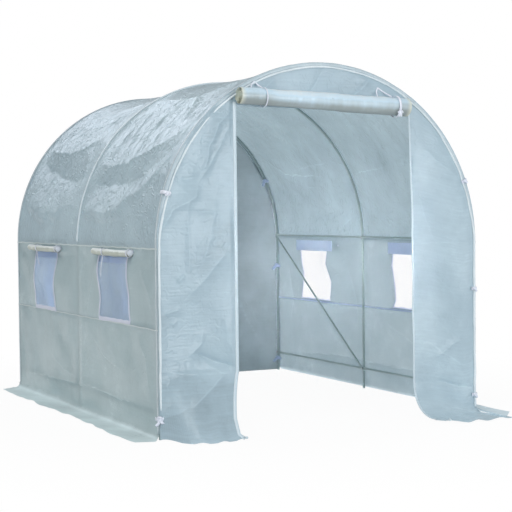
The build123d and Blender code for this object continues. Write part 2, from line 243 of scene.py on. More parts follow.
def strapMesh(name, path, face, width, thick):
    path = np.asarray(path, float)
    along = unitRows(np.gradient(path, axis=0))
    face = np.broadcast_to(np.asarray(face, float), path.shape)
    face = unitRows(face - along * np.sum(face * along, 1, keepdims=True))
    side, up = np.cross(along, face) * width / 2, face * thick / 2
    rings = np.stack([path - side - up, path + side - up, path + side + up, path - side + up], 1)
    return ringMesh(name, rings, [0, width, width + thick, 2 * width + thick, 2 * width + 2 * thick])


def tubeMesh(name, path, radii, sides=10):
    path = np.asarray(path, float)
    along = unitRows(np.gradient(path, axis=0))
    ref = np.array([0, 0, 1.0]) if abs(along[0][2]) < .9 else np.array([0, 1.0, 0])
    frames = [np.cross(along[0], ref)]
    for step in along[1:]:
        frames.append(frames[-1] - step * np.dot(frames[-1], step))
    frames = unitRows(np.array(frames))
    other = np.cross(along, frames)
    turn = np.linspace(0, 2 * math.pi, sides, endpoint=False)[None, :, None]
    radii = np.broadcast_to(np.asarray(radii, float), (len(path),))[:, None, None]
    rings = path[:, None] + radii * (np.cos(turn) * frames[:, None] + np.sin(turn) * other[:, None])
    return ringMesh(name, rings, np.linspace(0, 2 * math.pi * radii.mean(), sides + 1))


def lumpMesh(centre, axes, radii, rows=9, cols=14):
    a = np.linspace(0, math.pi, rows + 1)[:, None]
    b = np.linspace(0, 2 * math.pi, cols, endpoint=False)[None, :]
    bump = 1 + .12 * np.sin(3 * b + 4 * a)
    ball = pack(np.sin(a) * np.cos(b), np.sin(a) * np.sin(b), np.cos(a) + 0 * b)
    rings = np.array(centre, float) + ball * bump[..., None] * np.array(radii) @ np.array(axes, float)
    return ringMesh("lump", rings, np.linspace(0, .05, cols + 1))


# Node trees and materials

def setInput(tree, socket, value):
    if isinstance(value, bpy.types.NodeSocket):
        tree.links.new(value, socket)
    else:
        socket.default_value = value


def addNode(tree, kind, settings=None, **inputs):
    node = tree.nodes.new(kind)
    for key, value in (settings or {}).items():
        setattr(node, key, value)
    for key, value in inputs.items():
        setInput(tree, node.inputs[key.replace("_", " ")], value)
    return node


def addMath(tree, operation, *values):
    node = addNode(tree, "ShaderNodeMath", {"operation": operation})
    for socket, value in zip(node.inputs, values):
        setInput(tree, socket, value)
    return node.outputs[0]


def mixShaders(tree, share, first, second):
    node = addNode(tree, "ShaderNodeMixShader")
    for socket, value in zip(node.inputs, (share, first.outputs[0], second.outputs[0])):
        setInput(tree, socket, value)
    return node.outputs[0]


def emptyTree(owner):
    owner.use_nodes = True
    owner.node_tree.nodes.clear()
    return owner.node_tree


def newGroup(name, kind, inputs, outputs):
    tree = bpy.data.node_groups.new(name, kind)
    for way, sockets in (("INPUT", inputs), ("OUTPUT", outputs)):
        for label, sort in sockets.items():
            tree.interface.new_socket(name=label, in_out=way, socket_type="NodeSocket" + sort)
    return tree, tree.nodes.new("NodeGroupInput").outputs, tree.nodes.new("NodeGroupOutput").inputs


weave = {
    "tapes": 45.0, "crinkle": 26.0, "cloud": 2.6, "streak": (5.5, 75.0, 1.0),
    "tapeHeight": .10, "streakHeight": .45,
    "tapeTone": .10, "streakTone": .22, "creaseAndShadingTone": .40, "cloudTone": .72, "baseTone": .11,
}


def buildFilmGroup():
    tree, given, out = newGroup(
        "wovenFilm", "ShaderNodeTree",
        {"Vector": "Vector", "Crinkle": "Float", "Streak": "Float", "Crease": "Float"},
        {"Tone": "Float", "Height": "Float"})
    flat, plane = given["Vector"], {"noise_dimensions": "2D"}
    bands = [addNode(tree, "ShaderNodeTexWave", {"bands_direction": way}, Vector=flat, Scale=weave["tapes"],
                     Distortion=.6, Detail=1.0).outputs["Fac"] for way in ("X", "Y")]
    tapes = addMath(tree, "MULTIPLY", *bands)  # warp and weft inside the film
    fine = addNode(tree, "ShaderNodeTexNoise", {**plane, "noise_type": "RIDGED_MULTIFRACTAL"}, Vector=flat,
                   Scale=weave["crinkle"], Detail=4.0, Roughness=.5, Distortion=.9)
    longWays = addNode(tree, "ShaderNodeMapping", Vector=flat, Scale=weave["streak"])
    streak = addNode(tree, "ShaderNodeTexNoise", plane, Vector=longWays.outputs["Vector"], Scale=1.0,
                     Detail=3.0, Roughness=.6)
    cloud = addNode(tree, "ShaderNodeTexNoise", plane, Vector=flat, Scale=weave["cloud"], Detail=5.0, Roughness=.62)
    crinkle = addMath(tree, "MULTIPLY", fine.outputs["Fac"], given["Crinkle"])
    streaks = addMath(tree, "MULTIPLY", streak.outputs["Fac"], given["Streak"])
    height = addMath(tree, "MULTIPLY_ADD", tapes, weave["tapeHeight"], crinkle)
    height = addMath(tree, "MULTIPLY_ADD", streaks, weave["streakHeight"], height)
    level = addMath(tree, "SUBTRACT", streaks, addMath(tree, "MULTIPLY", given["Streak"], .5))
    tone = addMath(tree, "MULTIPLY_ADD", cloud.outputs["Fac"], weave["cloudTone"], weave["baseTone"])
    for part, share in ((tapes, "tapeTone"), (level, "streakTone"), (given["Crease"], "creaseAndShadingTone")):
        tone = addMath(tree, "MULTIPLY_ADD", part, weave[share], tone)
    setInput(tree, out["Tone"], tone)
    setInput(tree, out["Height"], height)
    return tree


filmGroup = buildFilmGroup()


def colourRamp(tree, value, stops):
    ramp = addNode(tree, "ShaderNodeValToRGB", Fac=value)
    elements = ramp.color_ramp.elements
    for k, (at, colour) in enumerate(stops):
        if k < 2:
            elements[k].position, elements[k].color = at, (*colour, 1)
        else:
            elements.new(at).color = (*colour, 1)
    return ramp.outputs["Color"]


def finishSurface(tree, colour, tone, height, rough, bump, through, bumpThrough, **shineInputs):
    rub = addNode(tree, "ShaderNodeMapRange", Value=tone, To_Min=rough[0], To_Max=rough[1])
    bumped = addNode(tree, "ShaderNodeBump", Height=height, Strength=bump[0], Distance=bump[1]).outputs["Normal"]
    shine = addNode(tree, "ShaderNodeBsdfPrincipled", Base_Color=colour, Roughness=rub.outputs["Result"],
                    Normal=bumped, **shineInputs)
    glow = addNode(tree, "ShaderNodeBsdfTranslucent", Color=colour)
    if bumpThrough:
        setInput(tree, glow.inputs["Normal"], bumped)
    addNode(tree, "ShaderNodeOutputMaterial", Surface=mixShaders(tree, through, shine, glow))


def filmMaterial(name, dark, light, through, crinkle=1.0, streak=1.0, rough=.25, bump=.4):
    material = bpy.data.materials.new(name)
    tree = emptyTree(material)
    # The crease attribute carries the whitening along creases, and on some pieces also painted light and painted
    # shade.
    creaseAndShading, aged = (addNode(tree, "ShaderNodeAttribute", {"attribute_name": label}).outputs["Fac"]
                    for label in ("creaseAndShading", "aged"))
    group = addNode(tree, "ShaderNodeGroup", {"node_tree": filmGroup}, Crinkle=crinkle, Streak=streak,
                    Vector=addNode(tree, "ShaderNodeTexCoord").outputs["UV"], Crease=creaseAndShading)
    tone = group.outputs["Tone"]
    glint, shadow = [min(c * 1.3, .9) for c in light], [c * .72 for c in dark]
    ramp = colourRamp(tree, tone, [(.36, dark), (.66, light), (.95, glint), (.06, shadow)])
    tint = addNode(tree, "ShaderNodeMix", {"data_type": "RGBA"}, Factor=aged)
    first, second = (socket for socket in tint.inputs if socket.type == "RGBA")
    setInput(tree, first, ramp)
    setInput(tree, second, (.80, .80, .66, 1))
    colour = next(socket for socket in tint.outputs if socket.type == "RGBA")
    finishSurface(tree, colour, tone, group.outputs["Height"], (rough - .06, rough + .08), (bump, .004),
                  through, True, IOR=1.46)
    return material


def grainMaterial(name, dark, light, rough, metallic=0.0, scale=120.0, bump=.2, coat=0.0, through=0.0):
    material = bpy.data.materials.new(name)
    tree = emptyTree(material)
    place = addNode(tree, "ShaderNodeTexCoord").outputs["Object"]
    noise = addNode(tree, "ShaderNodeTexNoise", Vector=place, Scale=scale, Detail=4.0, Roughness=.6).outputs["Fac"]
    patch = addNode(tree, "ShaderNodeTexNoise", Vector=place, Scale=6.0, Detail=3.0).outputs["Fac"]
    both = addMath(tree, "MULTIPLY_ADD", noise, .5, addMath(tree, "MULTIPLY", patch, .5))
    colour = colourRamp(tree, both, [(.34, dark), (.66, light)])
    finishSurface(tree, colour, both, noise, (rough - .08, rough + .1), (bump, .0008), through, False,
                  Metallic=metallic, Coat_Weight=coat)
    return material


films = {  # darker and lighter colour, share of light let through, then what differs from plain film
    "roofFilm": ((.465, .57, .62), (.56, .68, .73), .34, {"crinkle": 2.8, "streak": .25, "rough": .19, "bump": .6}),
    "wallFilm": ((.44, .54, .555), (.52, .62, .635), .34, {"crinkle": .7, "streak": .4}),
    "shadeFilm": ((.435, .53, .575), (.505, .60, .645), .42, {"crinkle": .7, "streak": .3}),
    "rearShade": ((.418, .50, .538), (.49, .58, .61), .34, {"crinkle": .7, "streak": .4}),
    "frontFilm": ((.44, .56, .63), (.53, .66, .73), .24, {"crinkle": .7, "bump": .6}),
    # The sleeve is the front film made paler, painted light for its lit edge round the hoop.
    "litSleeveFilm": ((.58, .68, .73), (.70, .80, .84), .24, {"crinkle": .7}),
    # The roll's and the cream flaps' darker colours are painted shade for their undersides.
    "rollFilm": ((.39, .445, .445), (.66, .83, .94), .12, {"crinkle": .5, "streak": .2}),
    "flapFilm": ((.56, .60, .50), (.92, .95, .90), .15, {"crinkle": .8}),
    "flapLilac": ((.72, .75, .90), (.86, .88, .97), .65, {"crinkle": .8}),
    "seamCordAndSheen": ((.78, .88, .94), (.86, .94, .98), .05, {"crinkle": .5}),
    "piping": ((.70, .79, .83), (.82, .89, .92), .05, {"crinkle": .8}),
    "seamFilm": ((.70, .79, .78), (.82, .89, .87), .2, {"crinkle": .5}),
    "seamFilmThin": ((.66, .74, .78), (.78, .85, .88), .7, {"crinkle": .5}),
    "lilacTape": ((.80, .83, .95), (.90, .92, .99), .25, {"crinkle": .5}),
    "lilacTapeThin": ((.78, .81, .94), (.88, .90, .98), .70, {"crinkle": .5}),
}
grains = {  # darker and lighter colour, roughness, then what differs from plain grain
    "tieCloth": ((.72, .80, .99), (.80, .88, 1.0), .7, {"scale": 420, "bump": .5, "through": .3}),
    "webbing": ((.72, .76, .86), (.88, .90, .97), .7, {"scale": 420, "bump": .5}),
    "netThread": ((.69, .80, .99), (.80, .90, 1.0), .6, {"scale": 300, "through": .35}),
    "netThreadPale": ((.84, .87, .96), (.92, .94, .99), .6, {"scale": 300, "through": .7}),
    "tubePaint": ((.34, .43, .43), (.44, .53, .53), .42, {"metallic": .15, "scale": 240, "bump": .15, "coat": .15}),
    "zinc": ((.42, .44, .46), (.62, .64, .66), .38, {"metallic": .9, "scale": 200}),
    "zipPlastic": ((.60, .71, .77), (.71, .81, .86), .5, {"scale": 200}),
}
look = {name: filmMaterial(name, *plain, **more) for name, (*plain, more) in films.items()}
look.update({name: grainMaterial(name, *plain, **more) for name, (*plain, more) in grains.items()})
sideLooks = {  # the left side is seen from outside, the right from inside with light behind it
    "left": {"wall": "wallFilm", "flap": "flapFilm", "seam": "seamFilm", "tape": "lilacTape",
             "net": "netThread", "strap": "webbing"},
    "right": {"wall": "shadeFilm", "flap": "flapLilac", "seam": "seamFilmThin", "tape": "lilacTapeThin",
              "net": "netThreadPale", "strap": "lilacTapeThin"},
}


def sideLook(side, part):
    return look[sideLooks[side][part]]


for name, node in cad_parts.items():
    if name.endswith(("_leg", "_arch", "_rail", "_brace")):
        node.data.materials.clear()
        node.data.materials.append(look["tubePaint"])
print("materials ready")


# Roof film over the hoops, one sheet a bay

roof = {
    "sag": .008, "shoulderSag": .036,  # hollow between two hoops, at the rails and on the shoulders
    "rows": 404, "cols": 160, "seeds": {"front": 40, "rear": 90},
    "big": .0060, "long": .0058, "tiny": .0054, "fan": .0045,  # heights of the crumples and of the fans at a hoop
    "folds": {  # places along a bay, then degrees round the arch, then millimetres
        "front": {
            "at": (0, .11, .17, .26, .36, .49, .62, .78, .92, 1),
            "ridge": (136, 139, 141, 143.5, 146, 149, 151.5, 152.5, 152, 150.5),
            "tuck": (141, 144, 147, 151, 154.5, 157, 158, 158.8, 158, 157),
            "lip": (144, 147, 152, 158, 162, 167.5, 169, 168.4, 168.4, 165),
            "ridgeUp": (0, 7, 11, 14, 16, 18, 19, 17, 11, 0),
            "tuckIn": (0, 7, 12, 17, 22, 25, 25, 22, 14, 0),
            "lipUp": (0, 2, 5, 10, 16, 22, 25, 25, 18, 0)},
        "rear": {
            "at": (0, .1, .2, .3, .43, .6, .72, .85, .95, 1),
            "ridge": (141, 140, 139, 141, 143.5, 143.7, 143.6, 143, 141, 140),
            "tuck": (155, 155, 155, 155, 155, 154, 151.5, 149, 147, 146),
            "lip": (168, 167, 166, 165, 168, 169, 168, 166, 162, 160),
            "ridgeUp": (0, 10, 17, 22, 24, 24, 22, 16, 8, 0),
            "tuckIn": (0, 16, 27, 34, 34, 28, 20, 13, 6, 0),
            "lipUp": (0, 0, 0, 2, 15, 33, 38, 34, 18, 0)},
    },
    "creases": {  # points (degrees round the arch, place along Y), rise, width, lean
        "front": [
            (((118, -.62), (124, -.76), (130.6, -.874), (137.2, -.90)), .008, .020, .4),
            (((121, -1.17), (128.5, -1.114), (132.9, -1.044), (137.8, -1.005)), .008, .016, .4),
            (((109, -1.12), (116, -.87), (121.3, -.669), (120.6, -.40), (119.5, -.05)), .017, .070, 0),
            (((124, -1.22), (133, -1.17), (141, -1.11), (147, -1.05)), .006, .014, .3),
            (((143, -1.22), (150, -1.15), (156.9, -1.004), (160, -.90)), .005, .014, .3),
            (((127, -.98), (135, -.93), (141, -.87)), -.005, .014, .3),
            (((126, -.45), (133, -.52), (139, -.56)), .005, .014, .3),
            (((125, -.20), (134, -.27), (143, -.33)), .005, .016, -.3),
            (((162, -.60), (168, -.56), (173, -.48)), .004, .012, .3),
            (((25, -.04), (26.6, -.16), (27.4, -.27), (28.5, -.52)), .006, .030, .3),
            (((10, -.04), (4.1, -.07), (1.1, -.114)), .004, .016, .3)],
        "rear": [
            (((126, .30), (130.3, .48), (133.9, .624)), .010, .030, .4),
            (((119, .05), (117, .25), (120, .50), (124, .80), (122, 1.10)), .014, .060, 0),
            (((119, .22), (127, .34), (136, .40)), .006, .016, -.3),
            (((122, .70), (130, .80), (138, .86)), .006, .018, .3),
            (((146, .30), (156, .24), (164, .22)), .006, .016, .3),
            (((140, .95), (150, .88), (160, .84)), .006, .018, .3),
            (((163, .70), (170, .66), (175, .60)), .004, .012, .3),
            (((42, 1.23), (38.8, 1.2), (33.2, 1.04), (27.6, .857), (26.5, .60), (25.7, .33)), .011, .030, .4),
            (((55, 1.12), (53.2, 1.08), (48.8, .97)), .008, .020, .3),
            (((29.5, .66), (30.1, .55), (30.6, .37), (31.5, .19)), .006, .030, -.3),
            (((21.4, .62), (21.2, .53), (21.0, .39)), .006, .020, .3),
            (((2.0, .36), (5.6, .23), (8.7, .11)), .005, .018, .3)],
    },
}


def baySag(y):
    s = np.clip(np.where(y < 0, (y + hoopY) / hoopY, y / hoopY), 0, 1)
    return 4 * s * (1 - s), s


def fromHoop(y):
    return np.minimum(np.abs(y), np.minimum(np.abs(y - hoopY), np.abs(y + hoopY)))


def shoulderFolds(bay, angle, s):
    lines = roof["folds"][bay]  # swags that hang between the hoops on the outer shoulder
    ridge, tuck, lip, ridgeUp, tuckIn, lipUp = (
        np.interp(s, lines["at"], lines[k]) for k in ("ridge", "tuck", "lip", "ridgeUp", "tuckIn", "lipUp"))
    deg, start = np.degrees(angle), 108
    rise = np.clip((deg - start) / (ridge - start), 0, 1) ** 1.7 * ridgeUp
    drop = ridgeUp - (tuckIn + ridgeUp) * np.clip((deg - ridge) / (tuck - ridge), 0, 1) ** .8
    back = -tuckIn + (lipUp + tuckIn) * np.clip((deg - tuck) / (lip - tuck), 0, 1)
    last = lipUp * (1 - smooth((deg - lip) / 4))
    return np.where(deg < ridge, rise, np.where(deg < tuck, drop, np.where(deg < lip, back, last))) / 1000


def roofPoint(bay, angle, y):
    bow, s = baySag(y)
    away, deg, arc = fromHoop(y), np.degrees(angle), angle * filmX
    seed = roof["seeds"][bay]
    shoulder = np.abs(np.sin(2 * angle)) ** .8
    r = filmX - bow * (roof["sag"] + (roof["shoulderSag"] - roof["sag"]) * shoulder)
    left = smooth((deg - 88) / 12)
    looseS = np.clip(s + .04 * softNoise(arc * 7, y * 6, 3), 0, 1)
    looseA = angle + .012 * softNoise(arc * 11, y * 14, 4) + .006 * softNoise(arc * 31, y * 35, 6)
    other = shoulderFolds("rear" if bay == "front" else "front", math.pi - looseA, 1 - looseS)
    r = r + (shoulderFolds(bay, looseA, looseS) * left + .45 * other * (1 - left)) * smooth(away / .09)
    sewn = smooth((deg - 1) / 7) * smooth((179 - deg) / 7)
    high = np.exp(-((np.abs(deg - 90) - 40) / 22) ** 2)
    patch = smooth(.45 + softNoise(arc * 3.1, y * 3.7, seed + 2) * .9)
    big = crumple(arc, y, .17, seed)
    long = crumple(arc * .55 + y * .2, y, .045, seed + 7, lean=1.45, spread=.9, waves=6)
    tiny = crumple(arc * .7, y, .030, seed + 9, lean=1.2, spread=2.2, waves=6)
    crumpled = big * roof["big"] * (.35 + high) + long * roof["long"] * (.08 + high) * (.35 + patch)
    crumpled = crumpled + tiny * roof["tiny"] * (.1 + high) * (.25 + patch)
    r = r + crumpled * sewn * smooth(away / .05)
    fan = zigzag(arc * 9.5 + .8 * softNoise(arc * 4, y * 1.5, seed + 3) + away * 2.2) * roof["fan"]
    r = r + fan * np.exp(-((away - .10) / .11) ** 2) * sewn * smooth(away / .03)
    lines = [([(math.radians(d) * filmX, at) for d, at in points], *rest)
             for points, *rest in roof["creases"][bay]]
    fold, mark = creases(arc, y, lines, seed + 11)
    r = r + fold * sewn * smooth(away / .03)
    mark = mark + .2 * smooth((deg - 158) / 10)
    return pack(r * np.cos(angle), y, spring + r * np.sin(angle)), mark


def buildRoof(bay, y0, y1):
    angle, y = grid(np.linspace(0, math.pi, roof["rows"]), np.linspace(y0, y1, roof["cols"]))
    points, mark = roofPoint(bay, angle, y)
    piece = filmPiece(bay + "RoofFilm", bay + "_roof_cover", points, pack(angle * filmX, y), look["roofFilm"],
                      {"creaseAndShading": mark * .7}, flip=True)


buildRoof("front", -endY, 0.0)
buildRoof("rear", 0.0, endY)
print("roof film done")


# Side films: a band with windows, and a lower wall with its skirt

sides = {
    "cols": 340, "bandRows": 70, "wallRows": 96, "seeds": {"left": 120, "right": 160},
    "windowY": hoopY / 2, "windowHalf": .225, "windowPhase": {"left": 0, "right": 1.4},
    "sill": bandFoot + .015, "head": spring - .02,
    "skirt": .165, "foldRadius": .035, "least": .002,
    "skirtAt": (-1.26, -.89, -.48, -.13, .22, .64, 1.10, 1.26),
    "skirtReach": {"left": (.15, .171, .142, .142, .163, .156, .167, .05),
                   "right": (.165, .17, .16, .165, .17, .16, .165, .08)},
    "windows": {  # how far each edge of a window strays along Y, by height
        "left": {
            "front": {"low": ((.58, .70, .94), (.015, .020, -.008)),
                      "high": ((.58, .69, .86, .94), (.038, .028, .052, .022))},
            "rear": {"low": ((.58, .78, .94), (.052, .042, .036)), "high": ((.58, .75, .94), (.008, .014, -.008))}},
        "right": {
            "front": {"low": ((.58, .94), (.03, .03)),
                      "high": ((.57, .64, .72, .83, .91), (.058, .010, .035, .070, .047))},
            "rear": {"low": ((.57, .70, .82, .92), (.050, .026, .100, .098)),
                     "high": ((.56, .62, .75, .91), (.040, .030, .006, .030))}},
    },
    "drop": {"left": .012, "right": .040},  # how far the seam under the windows sags
    "creases": {  # points (along Y, up Z), rise, width, lean
        "left": [
            (((1.16, .12), (.40, .150), (-.183, .165), (-.70, .150), (-1.135, .160)), .010, .030, .5),
            (((.55, .30), (.30, .22), (.05, .19)), .005, .03, .3),
            (((-.20, .50), (-.45, .36), (-.75, .30)), .005, .03, .3),
            (((-.95, .52), (-1.08, .40), (-1.16, .25)), .005, .025, .3),
            (((-1.02, .90), (-1.12, .78), (-1.18, .62)), .004, .02, .3),
            (((-.28, .86), (-.20, .72), (-.16, .60)), .004, .02, .3),
            (((1.05, .86), (.98, .72), (.96, .62)), .004, .02, .3)],
        "right": [
            (((-1.05, .20), (-.40, .17), (.30, .19), (1.1, .15)), .008, .035, -.4),
            (((-1.0, .88), (-1.12, .70), (-1.18, .50)), .006, .03, .3),
            (((.20, .80), (.12, .62), (.10, .40)), .006, .03, .3),
            (((1.10, .80), (1.02, .60), (1.05, .35)), .006, .03, .3),
            (((-.20, .50), (-.60, .34), (-1.0, .30)), .005, .04, .3)],
    },
}
windowPlaces = (-sides["windowY"], sides["windowY"])


def windowWarp(side, y, z):
    dy = np.zeros_like(y)
    fade = smooth((z - .32) / .24) * smooth((spring - z) / .03)
    for end, middle in zip(("front", "rear"), windowPlaces):
        for edge, key in ((-1, "low"), (1, "high")):
            near = np.exp(-((y - middle - edge * sides["windowHalf"]) / .12) ** 2)
            dy = dy + np.interp(z, *sides["windows"][side][end][key]) * near * fade
    return dy, -sides["drop"][side] * np.exp(-((z - sides["sill"]) / .07) ** 2)


def wallOut(side, y, z):
    bow = baySag(y)[0]
    fade = smooth(fromHoop(y) / .10)
    seed = sides["seeds"][side]
    hung = smooth((spring - z) / .08) * smooth(np.abs(z - bandFoot) / .05 + .25)
    out = -bow * roof["sag"] * (.4 + .6 * smooth((z - spring) / .12 + 1))
    out = out + .005 * np.exp(-((y + .06) / .05) ** 2) * smooth((.62 - z) / .12)
    out = out + fade * hung * (.012 * softNoise(y * 2.3 + 7, z * 4.2, seed) + .006 * softNoise(y * 6, z * 9, seed + 1))
    window = np.exp(-((np.abs(y) - sides["windowY"]) / .3) ** 2) * np.exp(-((z - .78) / .2) ** 2)
    out = out + fade * window * .011 * np.sin(z * 15 + np.where(y < 0, 1.1, 2.6) + sides["windowPhase"][side])
    big = crumple(y, z, .2, seed + 3, lean=.9, spread=1.1)
    fine = crumple(y, z, .06, seed + 5)
    return out + fade * hung * (big * .0030 + fine * .0010)


def wallPoint(side, y, z):
    dy, dz = windowWarp(side, y, z)
    return pack(signs[side] * (filmX + wallOut(side, y, z)), y + dy, z + dz)


def wallCreases(side, y, z):
    fold, mark = creases(y, z, sides["creases"][side], 130)
    return fold * smooth(fromHoop(y) / .04), mark * .6


def buildBand(side):
    half, middle = sides["windowHalf"], sides["windowY"]
    edges = [-middle - half, -middle + half, middle - half, middle + half]
    y = np.unique(np.concatenate([np.linspace(-endY, endY, sides["cols"]), edges]))
    z = np.linspace(bandFoot, spring, sides["bandRows"])
    z = np.unique(np.concatenate([z, [sides["sill"], sides["head"]]]))
    zz, yy = grid(z, y)
    cy, cz = (y[1:] + y[:-1]) / 2, (z[1:] + z[:-1]) / 2
    hole = (np.abs(np.abs(cy) - middle) < half)[None, :] & ((cz > sides["sill"]) & (cz < sides["head"]))[:, None]
    fold, mark = wallCreases(side, yy, zz)
    points = wallPoint(side, yy, zz)
    points[..., 0] += signs[side] * fold * smooth((spring - zz) / .03)
    piece = filmPiece(side + "BandFilm", side + "_window_band", points, pack(yy, zz), sideLook(side, "wall"),
                      {"creaseAndShading": mark}, keep=~hole, flip=side == "right")


def lowerPoint(side, y, t):
    r = sides["foldRadius"]  # t runs down the wall and out over the ground
    down, quarter = bandFoot - r, r * math.pi / 2
    reach = np.interp(y, sides["skirtAt"], sides["skirtReach"][side]) + .003 * np.sin(y * 23)
    run = t * (down + quarter + reach - r)
    turn = np.clip((run - down) / r, 0, math.pi / 2)
    lying = np.clip(run - down - quarter, 0, None)
    z = np.where(run < down, bandFoot - run, r * (1 - np.sin(turn)))
    out = np.where(run < down, 0, r * (1 - np.cos(turn))) + lying
    fold, mark = wallCreases(side, y, z)
    body = wallOut(side, y, np.maximum(z, .02)) + fold * (run < down + .5 * quarter)
    body = body * smooth((z + .02) / .10)
    dy, dz = windowWarp(side, y, z)
    wave = np.sin(y * 13 + 2 * np.sin(y * 3.1)) * .5 + np.sin(y * 29 + 1.3) * .25
    lift = lying / sides["skirt"] * (.010 + .010 * wave) + .0025
    # A broken painted highlight runs along the fold at the foot, and the skirt lying on the ground gets painted light
    # where it faces up.
    paintedFoldHighlight = .5 * np.exp(-((run - down - .55 * quarter) / .006) ** 2) * (.55 + .45 * noiseAlong(y * 9, 77))
    skirtPaintedLight = smooth((run - down) / (.7 * quarter))
    if side == "left":  # the front corner of the skirt lies a little forward
        sweep = .043 * smooth((-y - 1.05) / .2) * smooth(out / .05)
        # The upright part of the left wall also gets darker towards the rear.
        mark = mark + paintedFoldHighlight + .75 * skirtPaintedLight - .25 * smooth(y / .5 + .3) * (run < down)
    else:  # the front corner fans out and lies flat
        sweep = np.interp(filmX + out, (filmX, 1.02, 1.17), (.27, .27, .10))
        sweep = sweep * smooth((-y - 1.0) / .26) * smooth(out / .012)
        lift = lift * (1 - .85 * smooth((-y - .85) / .3))
        mark = mark + paintedFoldHighlight + skirtPaintedLight
    lift = lift + .0016 * crumple(y, t, .05, 210, waves=4) * smooth(lying / .02)
    points = pack(signs[side] * (filmX + body + out), y + dy - sweep, np.maximum(z + dz + lift, sides["least"]))
    return points, mark


def buildLower(side):
    tt, yy = grid(np.linspace(0, 1, sides["wallRows"]), np.linspace(-endY, endY, sides["cols"]))
    points, mark = lowerPoint(side, yy, tt)
    piece = filmPiece(side + "LowerFilm", side + "_lower_wall", points, pack(yy, tt * .75), sideLook(side, "wall"),
                      {"creaseAndShading": mark}, flip=side == "left")


for side in signs:
    buildBand(side)
    buildLower(side)
print("side films done")


# End walls

ends = {
    "rows": 340, "cols": 84, "topRows": 50, "topCols": 180, "rearRows": 240, "rearCols": 120, "tailRows": 30,
    "seeds": {"left": 300, "right": 340, "top": 380, "rear": 420},
    "leftSlip": ((0, .39, .70, .94, 1), (0, .046, .080, .088, .062)), "leftLean": .010,
    "fold": .33, "leftAt": (0, .05, .11, .18, .31, .5, .73, 1),
    "leftReach": (.004, .012, .09, .17, .225, .245, .24, .215),
    "rightBend": (.05, .22), "rightAt": (0, .25, .8, 1), "rightReach": (.335, .335, .33, .30),
    "rightLean": ((0, 1.0, 1.4, 1.8), (.010, .012, .002, -.012)), "rearTail": .337,
    "tails": {"left": .08, "right": .3},  # length that lies on the ground
    "creases": {  # points (X and Z on the wall), rise, width, lean
        "left": [
            (((-.568, 1.73), (-.645, 1.644), (-.690, 1.540), (-.729, 1.421), (-.782, 1.330)), .016, .060, .8),
            (((-.575, 1.66), (-.640, 1.53), (-.700, 1.43), (-.765, 1.34), (-.783, 1.266)), .005, .020, -.3),
            (((-.765, 1.34), (-.783, 1.266), (-.819, 1.243), (-.914, 1.2), (-.98, 1.088)), .012, .040, .6),
            (((-.86, 1.363), (-.773, 1.367)), -.006, .014, 0),
            (((-.87, 1.195), (-.76, 1.190), (-.62, 1.172)), -.004, .010, 0),
            (((-.83, 1.30), (-.83, 1.05), (-.82, .80)), .004, .014, .2),
            (((-.66, 1.25), (-.70, 1.05), (-.76, .88)), .004, .03, .3),
            (((-.893, .82), (-.847, .861)), .006, .012, .3),
            (((-.60, .98), (-.72, .84), (-.84, .74)), .005, .03, .3),
            (((-.964, .644), (-.876, .686)), .006, .012, .3),
            (((-.919, .593), (-.892, .62)), .004, .01, .2),
            (((-.743, .567), (-.748, .496), (-.833, .419)), .006, .014, .3),
            (((-.62, .62), (-.60, .50), (-.55, .42)), .005, .03, -.3),
            (((-.800, .442), (-.70, .405), (-.60, .365), (-.53, .333)), -.030, .030, 0),
            (((-.783, .43), (-.70, .372), (-.638, .325), (-.55, .322)), .008, .022, .2),
            (((-.609, .324), (-.686, .264), (-.771, .206), (-.85, .17)), .014, .045, -.4),
            (((-.978, .347), (-.85, .338), (-.70, .328), (-.621, .324)), .005, .016, 0)],
        "right": [
            (((.62, 1.55), (.74, 1.46), (.86, 1.38)), .005, .03, .3),
            (((.60, 1.30), (.66, 1.12), (.74, .98)), .004, .03, .3),
            (((.57, 1.0), (.80, .998), (.99, .992)), -.004, .010, 0),
            (((.60, .92), (.78, .76), (.93, .62)), .003, .05, .4),
            (((.60, .66), (.76, .52), (.90, .40)), .003, .05, .4),
            (((.71, .334), (.835, .414), (.93, .430)), .010, .024, .3),
            (((.64, .44), (.80, .34), (.95, .26)), .006, .04, .4),
            (((.70, .20), (.86, .165), (.995, .133)), -.009, .022, 0),
            (((.80, .045), (.90, .02), (.99, .005)), -.005, .014, 0)],
        "top": [
            (((-.50, 1.76), (-.40, 1.83), (-.30, 1.91)), .005, .018, .3),
            (((.10, 1.78), (.22, 1.86), (.30, 1.93)), .005, .018, .3),
            (((-.12, 1.80), (-.06, 1.88), (.0, 1.97)), -.004, .016, .3)],
        "rear": [
            (((.3, 1.5), (.5, 1.2), (.7, .9)), .012, .05, .3), (((-.2, 1.2), (-.4, .9), (-.6, .6)), .012, .05, .3),
            (((.6, .7), (.72, .45), (.85, .2)), .012, .05, .3), (((.1, .8), (.25, .5), (.4, .2)), .010, .06, .3),
            (((-.9, 1.1), (-.75, .8), (-.85, .4)), .010, .04, .3),
            (((-.6, 1.7), (-.4, 1.45), (-.35, 1.2)), .010, .04, .3)],
    },
}


def archHalf(z):
    up = np.clip(z - spring, 0, filmX)
    return np.sqrt(np.clip(filmX ** 2 - up ** 2, 0, None))


